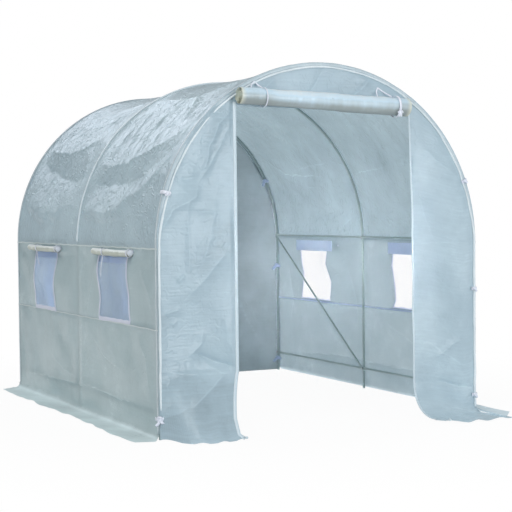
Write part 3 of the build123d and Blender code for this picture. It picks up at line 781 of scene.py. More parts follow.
def panelOut(wall, x, z):
    seed = ends["seeds"][wall]
    out = .010 * softNoise(x * 2.6, z * 2.1, seed) + .005 * softNoise(x * 7, z * 5, seed + 1)
    out = out + crumple(x, z, .16, seed + 2, lean=.75, spread=.8) * .0030
    out = out + crumple(x, z, .05, seed + 4) * .0010
    ribs = zigzag(z * 95 + 1.2 * softNoise(x * 9, z * 5, seed + 6)) * .0007
    out = out + ribs * smooth((.75 - z) / .3) * (.5 + .5 * softNoise(x * 5, z * 3, seed + 7))
    return out, *creases(x, z, ends["creases"][wall], seed + 8)


def panelRelief(wall, x, z):
    out, line, mark = panelOut(wall, x, z)
    inside, door = archHalf(z) - np.abs(x), smooth((np.abs(x) - doorHalf) / .03 + .3)
    return out * smooth(inside / .07) * door + line * smooth(inside / .03) * door, mark


def frontLeftPoint(uu, vv):
    z = vv * frontTop  # u from the leg to the doorway edge, v upwards
    outer = archHalf(z)
    x = -outer + uu * (outer - doorHalf + ends["leftLean"])
    fold = ends["fold"] + .05 * np.sin(uu * 2.4) * (1 - uu)
    low = np.clip((fold - z) / fold, 0, 1)
    y = -endY - easy(uu, ends["leftAt"], ends["leftReach"]) * low ** 1.3
    out, mark = panelRelief("left", x, z)
    wave = .005 * np.sin(uu * 21) * smooth(low * 2 - 1)
    off = lineOffset(x, z, ends["creases"]["left"][-2][0])[0]  # the side of the tail's fold that lies in shade
    shade = .3 + .9 * smooth(.5 - off / .04) * smooth((z + .04) / .2)
    # Painted shade: the whole panel is made a little darker, and more on the shaded side of the tail's fold.
    mark = mark - .45 - shade * smooth(low * 4)
    x = x - uu * np.interp(low, *ends["leftSlip"])
    return pack(x, y - out * smooth(z / .06), np.maximum(z + .004 + wave, sides["least"])), pack(x, z), mark


def frontRightPoint(uu, vv):
    bendLow, bendHigh = ends["rightBend"]  # u from the doorway edge to the leg
    bend = bendHigh + (bendLow - bendHigh) * smooth(uu)
    lying = easy(uu, ends["rightAt"], ends["rightReach"]) - bend
    quarter = bend * math.pi / 2
    run = vv * (lying + quarter + (frontTop - bend))
    turn = np.clip((run - lying) / bend, 0, math.pi / 2)
    level = run < lying
    z = np.where(level, 0, bend * (1 - np.cos(turn))) + np.clip(run - lying - quarter, 0, None)
    y = np.where(level, -(lying - run) - bend, -bend * (1 - np.sin(turn)))
    forward = np.clip(-y / ends["rightReach"][0], 0, 1)
    x = doorHalf + uu * (archHalf(z) - doorHalf) + .06 * (1 - uu) * forward ** 2 + .05 * uu ** 6 * forward
    x = x + (1 - uu) * np.interp(z, *ends["rightLean"])
    y = y * np.where(uu < .25, 1 - .18 * (1 - uu / .25) ** 2 * forward, 1)
    out, mark = panelRelief("right", x, z)
    flatness = np.where(level, 1, np.cos(turn)) * (z < .2)
    lift = .003 + .006 * (1 + np.sin(uu * 17 + 1)) * smooth(-y / .3) + np.abs(out) * .8 * (z < .05)
    return pack(x, -endY + y - out * (1 - .7 * flatness), z + lift), pack(x, run), mark


def buildFrontPanel(side, pointAt):
    vv, uu = grid(np.linspace(0, 1, ends["rows"]), np.linspace(0, 1, ends["cols"]))
    points, flat, mark = pointAt(uu, vv)
    piece = filmPiece("front" + side.capitalize() + "Film", "front_" + side + "_panel", points, flat,
                      look["frontFilm"], {"creaseAndShading": mark * .4})


def buildFrontTop():
    vv, x = grid(np.linspace(0, 1, ends["topRows"]), np.linspace(-doorHalf, doorHalf, ends["topCols"]))
    top = spring + np.sqrt(filmX ** 2 - x ** 2)
    z = doorHead + vv * (top - doorHead)
    out, line, mark = panelOut("top", x, z)
    out = (.6 * out + line) * smooth((top - z) / .05)
    piece = filmPiece("frontTopFilm", "front_top_panel", pack(x, -endY - out, z), pack(x, z), look["frontFilm"],
                      {"creaseAndShading": (mark - .4) * .6})


def buildRear():
    top, tail = spring + filmX, ends["rearTail"]
    wall = tail + np.linspace(0, 1, ends["rearRows"]) ** .93 * top
    run = np.concatenate([np.linspace(0, tail, ends["tailRows"])[:-1], wall])
    rr, uu = grid(run, np.linspace(-1, 1, ends["rearCols"]))
    z = np.clip(rr - tail, 0, top)
    lying = np.clip((tail - rr) / tail, 0, 1)
    half = np.where(rr < tail, filmX - .02 - .10 * lying ** 2, archHalf(z))
    x = uu * half
    out, line, mark = panelOut("rear", x, z)
    out = (out + line) * smooth((half - np.abs(x)) / .06) * smooth(z / .1)
    lift = .004 + .006 * (1 + np.sin(x * 13)) * smooth(lying)
    # The rear wall's tone is pulled well down, painted shade for a wall seen from inside.
    piece = filmPiece("rearFilm", "rear_wall", pack(x, endY + tail * lying + out, z + lift), pack(x, rr),
                      look["rearShade"], {"creaseAndShading": (mark - 1.2) * .5}, flip=True)


buildFrontPanel("left", frontLeftPoint)
buildFrontPanel("right", frontRightPoint)
buildFrontTop()
buildRear()
print("end walls done")


# Rolled film: the door over its opening and four window flaps

doorRoll = {
    "x": (rollLow.x + .013, rollHigh.x - .019), "y": (rollLow.y + rollHigh.y) / 2, "z": (1.803, 1.7665),
    "radii": (.0475, .049, .0505, .0525, .0545), "wraps": 9, "cols": 80, "steps": 32, "lip": .4, "sag": 0.0,
    "cream": .8, "seed": 500, "cap": (.84, .005, .010),  # a cap's share of the radius, half depth and inset
    "straps": (-.40, .427),
    "slings": ((-.43, 1.886, -.468, -.398), (.34, 1.876, .318, .410)),  # a loop's top, then its two feet on the roll
}
flapRoll = {"radii": (.021, .022, .022, .021), "wraps": 5, "cols": 36, "steps": 26, "lip": .9, "sag": .003,
            "cream": 0.0, "seed": 520, "tilt": .002}


def rollSheet(name, node, start, end, roll, out, material, seed):
    start, end, out = (np.array(v, float) for v in (start, end, out))  # a strip wound round itself, loose end outside
    length = np.linalg.norm(end - start)
    axis = (end - start) / length
    out = unitRows((out - axis * np.dot(out, axis))[None])[0]
    up = np.cross(out, axis)
    last, radii, core = roll["wraps"] * 2 * math.pi, roll["radii"], .16
    turn = np.linspace(0, last, int(roll["wraps"] * roll["steps"]))
    tt, aa = grid(np.linspace(0, 1, roll["cols"]), turn)
    big = np.interp(tt, np.linspace(0, 1, len(radii)), radii)
    share = aa / last
    loose = .05 * softNoise(tt * length * 9, aa * .9, seed) + .03 * softNoise(tt * length * 26, aa * 2.1, seed + 1)
    r = big * (core + (1 - core) * share + share * loose) * (1 + .03 * np.sin(aa + tt * 3 + seed))
    ragged = .006 * softNoise(np.zeros_like(aa) + seed, aa * .45, seed + 2)
    ragged = ragged * np.where(tt < .5, 1, -1) * (2 * np.abs(tt - .5)) ** 8
    seen = (aa - last + roll["lip"])[..., None]
    face = np.cos(seen) * out + np.sin(seen) * up
    points = start + axis * (tt * length + ragged)[..., None] + face * r[..., None]
    points[..., 2] -= roll["sag"] * np.sin(math.pi * tt)
    wound = np.cumsum(np.diff(turn) * np.mean(radii) * (core + (1 - core) * turn[1:] / last))
    run = np.concatenate([[0], wound])
    flat = pack(tt * length, np.broadcast_to(run * .2, tt.shape))
    fromEnd = (.5 - np.abs(tt - .5)) * length
    # The tone is painted lighter where the outer face turns up and darker where it turns down: painted light on top,
    # painted shade underneath.
    marks = {"creaseAndShading": .72 * face[..., 2] + .06, "aged": roll["cream"] * smooth((.022 - fromEnd) / .02)}
    return filmPiece(name, node, points, flat, material, marks), length, run[-1]


def buildDoorRoll():
    y = doorRoll["y"]
    low, high = ((x, y, z) for x, z in zip(doorRoll["x"], doorRoll["z"]))
    piece, wide, long = rollSheet("doorRoll", "door_roll", low, high, doorRoll, (0, 1, 0), look["rollFilm"],
                                  doorRoll["seed"])
    share, depth, inset = doorRoll["cap"]
    caps = []
    for (x, _, z), radius, sign in ((low, doorRoll["radii"][0], 1), (high, doorRoll["radii"][-1], -1)):
        caps.append(lumpMesh([x + sign * inset, y, z], [[0, 1, 0], [0, 0, 1], [1, 0, 0]],
                             (radius * share, radius * share, depth)))
    joinPiece("doorRollEnds", caps, look["flapFilm"])


def flapPlace(side, end):
    low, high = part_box(end + "_" + side + "_window_flap")
    return (low.x + high.x) / 2, low.y, high.y, (low.z + high.z) / 2


def buildFlaps():
    for side, sign in signs.items():
        for end in ("front", "rear"):
            x, y0, y1, z = flapPlace(side, end)
            tilt = flapRoll["tilt"]
            name = end + side.capitalize() + "WindowFlap"
            seed = flapRoll["seed"] + 7 * len(name) + (0 if side == "left" else 3)
            piece, wide, long = rollSheet(name, end + "_" + side + "_window_flap", (x, y0 + tilt, z - tilt),
                                          (x, y1 - tilt, z + tilt), flapRoll, (-sign, 0, 0),
                                          sideLook(side, "flap"), seed)


buildDoorRoll()
buildFlaps()
print("rolls done")


# Geometry Nodes: threads along drawn lines, and small things set along a path

def startTree(name, inputs):
    tree, given, out = newGroup(name, "GeometryNodeTree", {"Geometry": "Geometry", **inputs, "Material": "Material"},
                                {"Geometry": "Geometry"})
    return tree, given, out, addNode(tree, "GeometryNodeMeshToCurve", Mesh=given["Geometry"]).outputs[0]


def finishTree(tree, given, out, geometry):
    real = addNode(tree, "GeometryNodeRealizeInstances", Geometry=geometry)
    paint = addNode(tree, "GeometryNodeSetMaterial", Geometry=real.outputs[0], Material=given["Material"])
    setInput(tree, out["Geometry"], paint.outputs[0])
    return tree


def threadTree():
    tree, given, out, curve = startTree("threads", {"Radius": "Float", "Sides": "Int"})
    ring = addNode(tree, "GeometryNodeCurvePrimitiveCircle", Radius=given["Radius"], Resolution=given["Sides"])
    tube = addNode(tree, "GeometryNodeCurveToMesh", Curve=curve, Profile_Curve=ring.outputs["Curve"])
    return finishTree(tree, given, out, tube.outputs[0])


def beadTree():
    tree, given, out, curve = startTree("beads", {"Spacing": "Float", "Size": "Vector"})
    face = addNode(tree, "GeometryNodeInputNamedAttribute", {"data_type": "FLOAT_VECTOR"}, Name="face")
    points = addNode(tree, "GeometryNodeResampleCurve", {"mode": "LENGTH"}, Curve=curve, Length=given["Spacing"])
    tangent = addNode(tree, "GeometryNodeInputTangent")
    turnX = addNode(tree, "FunctionNodeAlignRotationToVector", {"axis": "X"}, Vector=tangent.outputs[0])
    turnZ = addNode(tree, "FunctionNodeAlignRotationToVector", {"axis": "Z", "pivot_axis": "X"},
                    Rotation=turnX.outputs[0], Vector=face.outputs[0])
    bead = addNode(tree, "GeometryNodeMeshCube", Size=given["Size"])
    place = addNode(tree, "GeometryNodeInstanceOnPoints", Points=points.outputs[0], Instance=bead.outputs[0],
                    Rotation=turnZ.outputs[0])
    return finishTree(tree, given, out, place.outputs[0])


threads, beads = threadTree(), beadTree()


def wireMesh(name, paths, faces=None):
    edges, base = [], 0
    for path in paths:
        edges += [(base + i, base + i + 1) for i in range(len(path) - 1)]
        base += len(path)
    mesh = bpy.data.meshes.new(name)
    mesh.from_pydata(np.concatenate(paths).tolist(), edges, [])
    if faces is not None:
        layer = mesh.attributes.new("face", "FLOAT_VECTOR", "POINT")
        layer.data.foreach_set("vector", np.concatenate(faces).astype(np.float32).ravel())
    mesh.update()
    return mesh


def nodesPiece(name, tree, wire, values):
    source = addObject(name + "Lines", wire)
    modifier = source.modifiers.new("make", "NODES")
    modifier.node_group = tree
    for item in tree.interface.items_tree:
        if item.in_out == "INPUT" and item.name in values:
            modifier[item.identifier] = values[item.name]
    bpy.context.view_layer.update()
    mesh = bpy.data.meshes.new_from_object(source.evaluated_get(bpy.context.evaluated_depsgraph_get()))
    mesh.name = name
    bpy.data.objects.remove(source)
    return ridePiece(addObject(name, mesh))


# Window screens

net = {"pitch": .0048, "radius": {"left": .0006, "right": .00014}, "sides": 3, "lap": .008, "steps": 18,
       "depth": (.004, .0046)}  # how far inside the film the upright and the level threads run


def buildNets(side):
    inward, steps, lap = np.array([-signs[side], 0, 0]), net["steps"], net["lap"]
    z0, z1 = sides["sill"] - lap, sides["head"] + lap
    paths = []
    for middle in windowPlaces:
        y0, y1 = middle - sides["windowHalf"] - lap, middle + sides["windowHalf"] + lap
        for y in np.arange(y0, y1, net["pitch"]):
            upright = wallPoint(side, np.full(steps, y), np.linspace(z0, z1, steps))
            paths.append(upright + inward * net["depth"][0])
        for z in np.arange(z0, z1, net["pitch"]):
            level = wallPoint(side, np.linspace(y0, y1, steps), np.full(steps, z))
            paths.append(level + inward * net["depth"][1])
    values = {"Radius": net["radius"][side], "Sides": net["sides"], "Material": sideLook(side, "net")}
    piece = nodesPiece(side + "Nets", threads, wireMesh(side + "Nets", paths), values)
    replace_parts(piece, side + "_window_meshes")


for side in signs:
    buildNets(side)
print("window screens done")


# Tapes: window bindings, seams, hems and piping on the end hoops, with their stitches

tape = {
    "binding": .018, "sill": .024, "seam": .008, "lowSeam": {"left": .006, "right": .003}, "hem": .012,
    "header": .074, "headerAt": .944, "headerThick": .003, "lining": .009, "thick": .0012, "lift": .0022,
    "stitch": (.0045, .0009, .0008), "stitchGap": .008, "stitchLift": .0008,
    "piping": .0058, "cord": .0062, "sleeve": (.0112, .0132), "inset": (.010, .023), "low": .03,
    "edgeSteps": 50, "headerSteps": 40, "liningSteps": 200, "seamSteps": 260, "legSteps": 60, "archSteps": 220,
}
stitchPaths, stitchFaces = [], []


def stitchAlong(path, face, lift=tape["stitchLift"]):
    face = np.broadcast_to(np.asarray(face, float), np.shape(path))
    stitchPaths.append(path + face * lift)
    stitchFaces.append(face)


def buildSideTapes(side):
    outward = np.array([signs[side], 0, 0.0])
    half, sill, thick = sides["windowHalf"], sides["sill"], tape["thick"]
    bindings, seams, headers = [], [], []

    def tapeOn(pile, y, z, width):
        path = wallPoint(side, y, z) + outward * tape["lift"]
        pile.append(strapMesh("tape", path, outward, width, thick))
        stitchAlong(path, outward)

    def tapeInside(y, z, depth, width, thick):
        path = wallPoint(side, y, np.full(len(y), z)) - outward * depth
        headers.append(strapMesh("inside", path, -outward, width, thick))

    for middle in windowPlaces:
        z = np.linspace(sill - .012, sides["head"] + .005, tape["edgeSteps"])
        for edge in (-1, 1):
            stray = .002 * np.sin(z * 41 + middle * 9 + edge)
            tapeOn(bindings, middle + edge * (half + .002) + stray, z, tape["binding"])
        y = np.linspace(middle - half - .012, middle + half + .012, tape["edgeSteps"])
        tapeOn(bindings, y, sill - .004 + .002 * np.sin(y * 60), tape["sill"])
        y = np.linspace(middle - half - .06, middle + half + .05, tape["headerSteps"])
        tapeInside(y, tape["headerAt"], .007, tape["header"], tape["headerThick"])
    tapeInside(np.linspace(-hoopY, hoopY, tape["liningSteps"]), bandFoot + .002, .004, tape["lining"], thick)
    y = np.linspace(-endY, endY, tape["seamSteps"])
    tapeOn(seams, y, spring - .002 + .0012 * np.sin(y * 40), tape["seam"])
    tapeOn(seams, y, bandFoot + .001 * np.sin(y * 33), tape["lowSeam"][side])
    joinPiece(side + "WindowBindings", bindings, sideLook(side, "tape"), False)
    joinPiece(side + "WindowHeaders", headers, look["tieCloth"], False)
    joinPiece(side + "SideSeams", seams, sideLook(side, "seam"), False)


def endOutline(y, radius):
    leg = np.linspace(tape["low"], spring, tape["legSteps"])[:-1]
    turn = np.linspace(math.pi, 0, tape["archSteps"])
    x = np.concatenate([leg * 0 - radius, radius * np.cos(turn), leg * 0 + radius])
    z = np.concatenate([leg, spring + radius * np.sin(turn), leg[::-1]])
    return pack(x, np.full_like(x, y), z), unitRows(pack(x, 0 * x, np.maximum(z - spring, 0)))


def buildSleeve(arched, k):
    path, away = endOutline(-hoopY - .0015, hoopX + .0005)
    turn = np.radians(np.linspace(-35, 140, 12))  # film wrapped round the outside of the hoop
    turn, thick = np.concatenate([turn, turn[::-1]]), np.repeat([0, tape["thick"]], len(turn))
    reach = np.cos(turn)[:, None] * away[:, None] + np.sin(turn)[:, None] * np.array([0, -1, 0])
    loose = np.interp(arched, (0, 1), tape["sleeve"]) + .0008 * noiseAlong(k * .19, 616)
    rings = path[:, None] + reach * (loose[:, None] - thick)[..., None]
    sleeve = ringMesh("sleeve", rings[:, ::-1], np.linspace(0, .06, len(turn) + 1))
    newPiece("frontSleeve", sleeve, look["litSleeveFilm"])


def buildPiping(end, sign):
    path, away = endOutline(sign * (endY + .003), filmX)
    k = np.arange(len(path)) * 1.0
    arched = smooth((path[:, 2] - spring) / .3)  # the cord runs on a leg's corner and inside the arch's edge
    step = tape["inset"][0] + (tape["inset"][1] - tape["inset"][0]) * arched
    path = path + away * (.0022 * noiseAlong(k * .17, 611) - step)[:, None]
    radii = tape["piping"] + .0016 * (1 - arched) + .0012 * noiseAlong(k * .33, 612)
    cord = tubeMesh("cord", path, radii)
    if end == "front":
        buildSleeve(arched, k)
    hem, away = endOutline(sign * (endY - .020), filmX + .0020)
    hem[:, 1] += .0015 * noiseAlong(k * .23, 615)
    stitchAlong(hem, away)
    flat = strapMesh("flat", hem, away, tape["hem"], tape["thick"])
    joinPiece(end + "Piping", [cord, flat], look["piping"])


def buildHoopSeam():
    turn = np.radians(np.linspace(179, 1, tape["liningSteps"]))
    away = pack(np.cos(turn), 0 * turn, np.sin(turn))
    path = away * (filmX + tape["lift"]) + np.array([0, 0, spring])
    path[:, 1] = .004 * noiseAlong(turn * 9, 618)
    # The cord is the seam where the two roof sheets meet, made very pale partly as painted highlight for the sheen
    # along the hoop's ridge.
    newPiece("middleSeam", tubeMesh("middleSeam", path, tape["cord"]), look["seamCordAndSheen"])
    stitchAlong(path, away)


for side in signs:
    buildSideTapes(side)
buildPiping("front", -1)
buildPiping("rear", 1)
buildHoopSeam()
print("tapes done")


# Zips down both edges of the doorway

zipper = {"width": {"left": .019, "right": .011}, "thick": .0025, "pitch": .0046, "tooth": (.0024, .0042, .0022),
          "inset": .006, "lift": .0026, "toothIn": .004, "stitchOut": .006, "steps": 240}


def zipPath(side):
    v, edge = np.linspace(0, 1, zipper["steps"]), np.ones(zipper["steps"])
    if side == "left":
        points = frontLeftPoint(edge, v * (doorHead + .02) / frontTop)[0]
    else:
        points = frontRightPoint(edge * 0, v * (doorHead + .22) / (frontTop + .22))[0]
    points[:, 0] -= zipper["inset"] * signs[side]
    return points


def buildZip(side):
    path = zipPath(side)
    inward = np.array([-signs[side], 0, 0])
    face = unitRows(np.cross(unitRows(np.gradient(path, axis=0)), [1.0, 0, 0]))
    face = face * np.where(face[:, 1:2] > 0, -1, 1)
    name = side + "Zip"
    band = strapMesh("band", path + face * .001, face, zipper["width"][side], zipper["thick"])
    tag = lumpMesh(path[0] + inward * .004 + np.array([0, -.008, .006]), np.eye(3), (.009, .012, .006))
    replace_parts(joinPiece(name, [band, tag], look["zipPlastic"]), side + "_door_zip")
    row = path + face * zipper["lift"] + inward * zipper["toothIn"]
    values = {"Spacing": zipper["pitch"], "Size": zipper["tooth"], "Material": look["zipPlastic"]}
    nodesPiece(name + "Teeth", beads, wireMesh(name + "Teeth", [row], [face]), values)
    stitchAlong(path - inward * zipper["stitchOut"], face, zipper["lift"])


for side in signs:
    buildZip(side)
nodesPiece("stitches", beads, wireMesh("stitches", stitchPaths, stitchFaces),
           {"Spacing": tape["stitchGap"], "Size": tape["stitch"], "Material": look["webbing"]})
print("zips and stitches done")


# Ties on the end hoops, straps round the door roll and the window flaps

ties = {
    "width": .02, "thick": .0016, "steps": 28,
    "front": {"left": (.108, 17.1), "right": (.104, .726, 21.0)},  # heights on a leg under 1 m, else degrees up the arch
    "rear": {"left": (.095, .788, 25.0), "right": (.095, .788, 25.2)},
    "plain": {"end": .034, "knotIn": .016, "knot": (.008, .009, .005), "reach": .020, "tail": .012},
    "bow": {"end": .026, "knotIn": .002, "knot": (.012, .012, .008), "reach": .034, "tail": .016},
    "hoopKnot": (.015, .015, .009), "hoopTail": .020,
    "flapRing": .0236, "flapStrap": .012, "flapEnd": (.0185, .0185, .004), "flapInset": (.010, .19),
    "flapLoose": {"front": (.10, .145), "rear": (.18, .11)},  # where a loose strap ends, along Y and down
}


def hoopPlace(side, at, radius):
    sign = signs[side]
    if at < spring:
        return np.array([sign * radius, 0, at]), np.array([sign, 0, 0.0]), np.array([0, 0, 1.0])
    turn = math.radians(at)
    outward = np.array([sign * math.cos(turn), 0, math.sin(turn)])
    along = np.array([-sign * math.sin(turn), 0, math.cos(turn)])
    return np.array([0, 0, spring]) + outward * radius, outward, along


def ribbon(points, faces, width):
    k, i = np.linspace(0, len(points) - 1, ties["steps"]), np.arange(len(points))
    path, face = (np.stack([np.interp(k, i, np.array(v, float)[:, c]) for c in range(3)], -1) for v in (points, faces))
    for _ in range(3):
        for line in (path, face):
            line[1:-1] = (line[:-2] + 2 * line[1:-1] + line[2:]) / 4
    return strapMesh("ribbon", path, face, width, ties["thick"])


def cornerTie(side, at):
    place, outward, along = hoopPlace(side, at, filmX)
    e = np.array([0, -1.0, 0])
    p = place + e * endY
    big = at < .2 and side == "left"
    form = ties["bow" if big else "plain"]
    wrap = [p + outward * .0045 - e * .045, p + outward * .0075 - e * .014, p + outward * .0085 + e * .004,
            p - outward * .006 + e * .0105, p - outward * form["end"] + e * .0085]
    meshes = [ribbon(wrap, [outward, outward, outward + e, e, e], ties["width"])]
    knot = p - outward * form["knotIn"] + e * .014
    meshes.append(lumpMesh(knot, [outward, along, e], form["knot"]))
    rng = np.random.default_rng(int(at * 1000) + (3 if side == "right" else 0))
    for turn in (-1, 1):
        tip = knot - outward * form["reach"] * rng.uniform(.3, .9) * turn
        tip = tip + along * (turn * .6 - .25) * form["reach"] + e * .003
        meshes.append(ribbon([knot, (knot + tip) / 2 + e * .006, tip], [e, e, e + outward * .3 * turn], form["tail"]))
        if big:  # the two loops of a bow
            far = knot + along * turn * .022 + outward * .020 * turn + e * .006
            loop = [knot, knot + along * turn * .012 + e * .012, far, knot + outward * .012 * turn + e * .004, knot]
            meshes.append(ribbon(loop, [e, e, along * turn, -e, -e], .014))
    return meshes


def hoopTie(side, at):
    centre, outward, along = hoopPlace(side, at, hoopX)
    y = np.array([0, 1.0, 0])
    centre = centre + y * hoopY
    turn = (math.radians(225) + np.linspace(-1.5, 1.5, 24))[:, None]
    face = np.cos(turn) * outward + np.sin(turn) * y
    inward = -(outward + y) / math.sqrt(2)
    knot = centre + inward * .019
    across = np.cross(along, inward)
    meshes = [strapMesh("ring", centre + face * (tubeRadius + .0014), face, ties["width"], ties["thick"]),
              lumpMesh(knot, [across, along, inward], ties["hoopKnot"])]
    for turnSide in (-1, 1):
        tip = knot + inward * .004 + along * (turnSide * .012 - .020) + across * turnSide * .030
        meshes.append(ribbon([knot, (knot + tip) / 2 + inward * .006, tip], [inward] * 3, ties["hoopTail"]))
    return meshes


def rollStrap(x, bow):
    y, ahead = doorRoll["y"], [[0, -1, 0]] * 3
    share = (x - doorRoll["x"][0]) / (doorRoll["x"][1] - doorRoll["x"][0])
    z = doorRoll["z"][0] + share * (doorRoll["z"][1] - doorRoll["z"][0])
    r = np.interp(share, np.linspace(0, 1, 5), doorRoll["radii"]) * 1.07 + .002
    turn = np.linspace(0, 2 * math.pi, 34)
    face = pack(0 * turn, np.cos(turn), np.sin(turn))
    meshes = [strapMesh("strap", np.array([x, y, z]) + face * r, face, .014 if bow else .006, .0018)]
    top, head, *feet = doorRoll["slings"][1 if bow else 0]
    for foot in feet:
        sling = [[top, -endY - .006, head], [(top + foot) / 2, -endY - .010, (head + z + r) / 2],
                 [foot, y + .012, z + r - .004]]
        meshes.append(ribbon(sling, ahead, .008))
    if bow:
        hang = np.array([x, y - r * .85, z - r * .55])
        meshes.append(lumpMesh(hang, np.eye(3), (.008, .006, .007)))
        for turnSide in (-1, 1):
            for near, far in (((.009, -.007, .004), (.016, -.004, -.006)), ((.004, -.006, -.010), (.007, -.002, -.026))):
                loop = [hang, *(hang + np.array([turnSide * dx, dy, dz]) for dx, dy, dz in (near, far))]
                meshes.append(ribbon(loop, ahead, .010))
    return meshes


def flapStraps(side, end):
    x, y0, y1, z = flapPlace(side, end)
    strap = y1 - ties["flapInset"][1]
    turn = np.linspace(0, 2 * math.pi, 30)
    face = pack(np.cos(turn), 0 * turn, np.sin(turn))
    meshes = [strapMesh("ring", np.array([x, at, z]) + face * ties["flapRing"], face, ties["flapStrap"], .0014)
              for at in (y0 + ties["flapInset"][0], strap)]
    for at in (y0 + .001, y1 - .001):  # the tucked ends of the roll
        meshes.append(lumpMesh([x, at, z], [[1, 0, 0], [0, 0, 1], [0, 1, 0]], ties["flapEnd"]))
    if side == "left":  # a loose strap hangs in front of the screen
        back, down = ties["flapLoose"][end]
        top = np.array([x - .012, strap, z - .016])
        far = np.array([-filmX - .012, y1 - back, z - down])
        meshes.append(ribbon([top, top * .5 + far * .5 + [-.004, 0, 0], far], [[-1, 0, 0]] * 3, ties["flapStrap"]))
    return meshes


def tiesOn(end, makeTie):
    return [mesh for side, places in ties[end].items() for at in places for mesh in makeTie(side, at)]


def buildTies():
    front = tiesOn("front", cornerTie)
    front += [mesh for k, x in enumerate(doorRoll["straps"]) for mesh in rollStrap(x, k == 1)]
    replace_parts(joinPiece("frontTies", front, look["webbing"]), "front_ties")
    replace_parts(joinPiece("rearTies", tiesOn("rear", hoopTie), look["tieCloth"]), "rear_ties")
    for side in signs:
        meshes = flapStraps(side, "front") + flapStraps(side, "rear")
        joinPiece(side + "FlapStraps", meshes, sideLook(side, "strap"))


buildTies()
print("ties done")


# Bolts through the flattened ends of the rails

bolt = {"washer": .0075, "washerSteps": (0, .0006, .0012), "head": .0052, "headSteps": (.001, .003, .0045, .0052),
        "rounding": .82, "seat": hoopX - tubeRadius - .0025, "lap": .0023}


def boltMeshes(place, axis):
    washer, head = ([np.array(place) + np.array(axis) * step for step in bolt[key]]
                    for key in ("washerSteps", "headSteps"))
    return [tubeMesh("washer", washer, bolt["washer"], sides=16),
            tubeMesh("head", head, [bolt["head"]] * 3 + [bolt["head"] * bolt["rounding"]], sides=6)]


def buildBolts():
    meshes = []
    boxes = [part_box("front_left_" + rail + "_rail") for rail in ("middle", "lower")]
    for y in (-hoopY, 0, hoopY):
        seat = bolt["seat"] - (bolt["lap"] if y == 0 else 0)
        for sign in signs.values():
            for low, high in boxes:
                meshes += boltMeshes((sign * seat, y, (low.z + high.z) / 2), (-sign, 0, 0))
        meshes += boltMeshes((0, y, spring + seat), (0, 0, -1))
    joinPiece("railBolts", meshes, look["zinc"])


buildBolts()
print("bolts done")


# Stage, light and camera

stage = {"near": 1.6, "far": 3.2, "nearWhite": .95, "floor": (.86, .87, .88, 1), "rings": (3, 8, 30), "sides": 96}
studio = {
    "world": (.93, .97, 1.0, 1), "level": .43,
    "lamps": [  # name, place, aim, width, height, power, colour, spread
        ("overhead", (-3.0, -4.0, 7.0), (0, 0, 1.0), 4.0, 4.0, 150, (1.0, .99, .97)),
        ("frontRight", (4.5, -14.0, 1.7), (0, -.5, .9), 6.0, 4.0, 700, (.95, .97, 1.0)),
        ("leftFill", (-9.0, -6.0, 2.5), (-1, -.5, 1.0), 4.0, 4.0, 120, (.97, 1.0, .98)),
        ("sideRight", (8.0, 2.0, 4.6), (0, 0, 1.0), 4.0, 3.0, 165, (.96, .98, 1.0)),
        ("doorway", (-3.0, -7.2, 1.6), (1.0, .54, .85), .4, .6, 3.2, (.95, .97, 1.0), 10),
        ("skyPanel", (-1.2, 9.0, 6.0), (-.6, 0, 1.6), 6.6, 3.6, 178, (.80, .88, 1.0)),
    ],
}
camera = {"place": (-3.674, -7.826, 1.185), "yaw": 26.31, "pitch": 1.84, "roll": -.62,
          "focal": 1360.5, "pixels": 512, "sensor": 36, "far": 200}


def cameraShare(tree, kinds):
    path = addNode(tree, "ShaderNodeLightPath")
    seen = path.outputs["Is Camera Ray"]
    for kind in kinds:
        seen = addMath(tree, "MAXIMUM", seen, path.outputs["Is " + kind + " Ray"])
    return seen


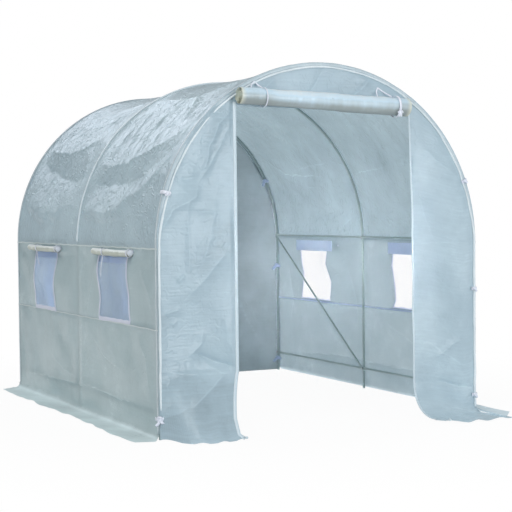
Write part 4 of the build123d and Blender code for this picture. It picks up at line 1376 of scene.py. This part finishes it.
def buildStage():
    count = stage["sides"]
    turn = [2 * math.pi * k / count for k in range(count)]
    verts = [(0, 0, 0)] + [(r * math.cos(a), r * math.sin(a), 0) for r in stage["rings"] for a in turn]
    faces = [(0, 1 + k, 1 + (k + 1) % count) for k in range(count)]
    for a in (1, 1 + count):
        faces += [(a + k, a + count + k, a + count + (k + 1) % count, a + (k + 1) % count) for k in range(count)]
    mesh = bpy.data.meshes.new("floor")
    mesh.from_pydata(verts, [], faces)
    mesh.update()
    material = bpy.data.materials.new("paleFloor")
    tree = emptyTree(material)
    length = addNode(tree, "ShaderNodeVectorMath", {"operation": "LENGTH"})
    setInput(tree, length.inputs[0], addNode(tree, "ShaderNodeTexCoord").outputs["Object"])
    far = addNode(tree, "ShaderNodeMapRange", Value=length.outputs["Value"], From_Min=stage["near"],
                  From_Max=stage["far"], To_Min=stage["nearWhite"], To_Max=1.0)
    share = addMath(tree, "MULTIPLY", cameraShare(tree, ("Glossy", "Transmission")), far.outputs["Result"])
    matte = addNode(tree, "ShaderNodeBsdfDiffuse", Color=stage["floor"])
    white = addNode(tree, "ShaderNodeEmission", Color=(1, 1, 1, 1), Strength=1.0)
    addNode(tree, "ShaderNodeOutputMaterial", Surface=mixShaders(tree, share, matte, white))
    mesh.materials.append(material)
    addObject("floor", mesh)


def buildWorld():
    world = bpy.data.worlds.new("studio")
    bpy.context.scene.world = world
    tree = emptyTree(world)
    soft = addNode(tree, "ShaderNodeBackground", Color=studio["world"], Strength=studio["level"])
    plain = addNode(tree, "ShaderNodeBackground", Color=(1, 1, 1, 1), Strength=1.0)
    seen = cameraShare(tree, ("Transmission",))
    addNode(tree, "ShaderNodeOutputWorld", Surface=mixShaders(tree, seen, soft, plain))


def addLamp(name, place, aim, wide, high, power, colour, spread=180):
    data = bpy.data.lights.new(name, "AREA")
    data.shape, data.size, data.size_y = "RECTANGLE", wide, high
    data.energy, data.color, data.spread = power, colour, math.radians(spread)
    lamp = addObject(name, data)
    lamp.location = place
    lamp.visible_camera = False
    lamp.rotation_euler = (Vector(aim) - Vector(place)).to_track_quat("-Z", "Y").to_euler()


def buildCamera():
    data = bpy.data.cameras.new("camera")
    data.sensor_width, data.sensor_fit = camera["sensor"], "HORIZONTAL"
    data.lens = camera["focal"] / camera["pixels"] * camera["sensor"]
    data.clip_end = camera["far"]
    eye = addObject("camera", data)
    yaw, pitch, roll = (math.radians(camera[k]) for k in ("yaw", "pitch", "roll"))
    ahead = Vector((math.sin(yaw) * math.cos(pitch), math.cos(yaw) * math.cos(pitch), -math.sin(pitch)))
    right = Vector((math.cos(yaw), -math.sin(yaw), 0))
    up = right.cross(ahead)
    right, up = right * math.cos(roll) + up * math.sin(roll), up * math.cos(roll) - right * math.sin(roll)
    eye.matrix_world = Matrix((right, up, -ahead)).transposed().to_4x4()
    eye.location = camera["place"]
    bpy.context.scene.camera = eye


buildStage()
buildWorld()
for lamp in studio["lamps"]:
    addLamp(*lamp)
buildCamera()
bpy.context.scene.view_settings.view_transform = "Standard"
print("studio ready")
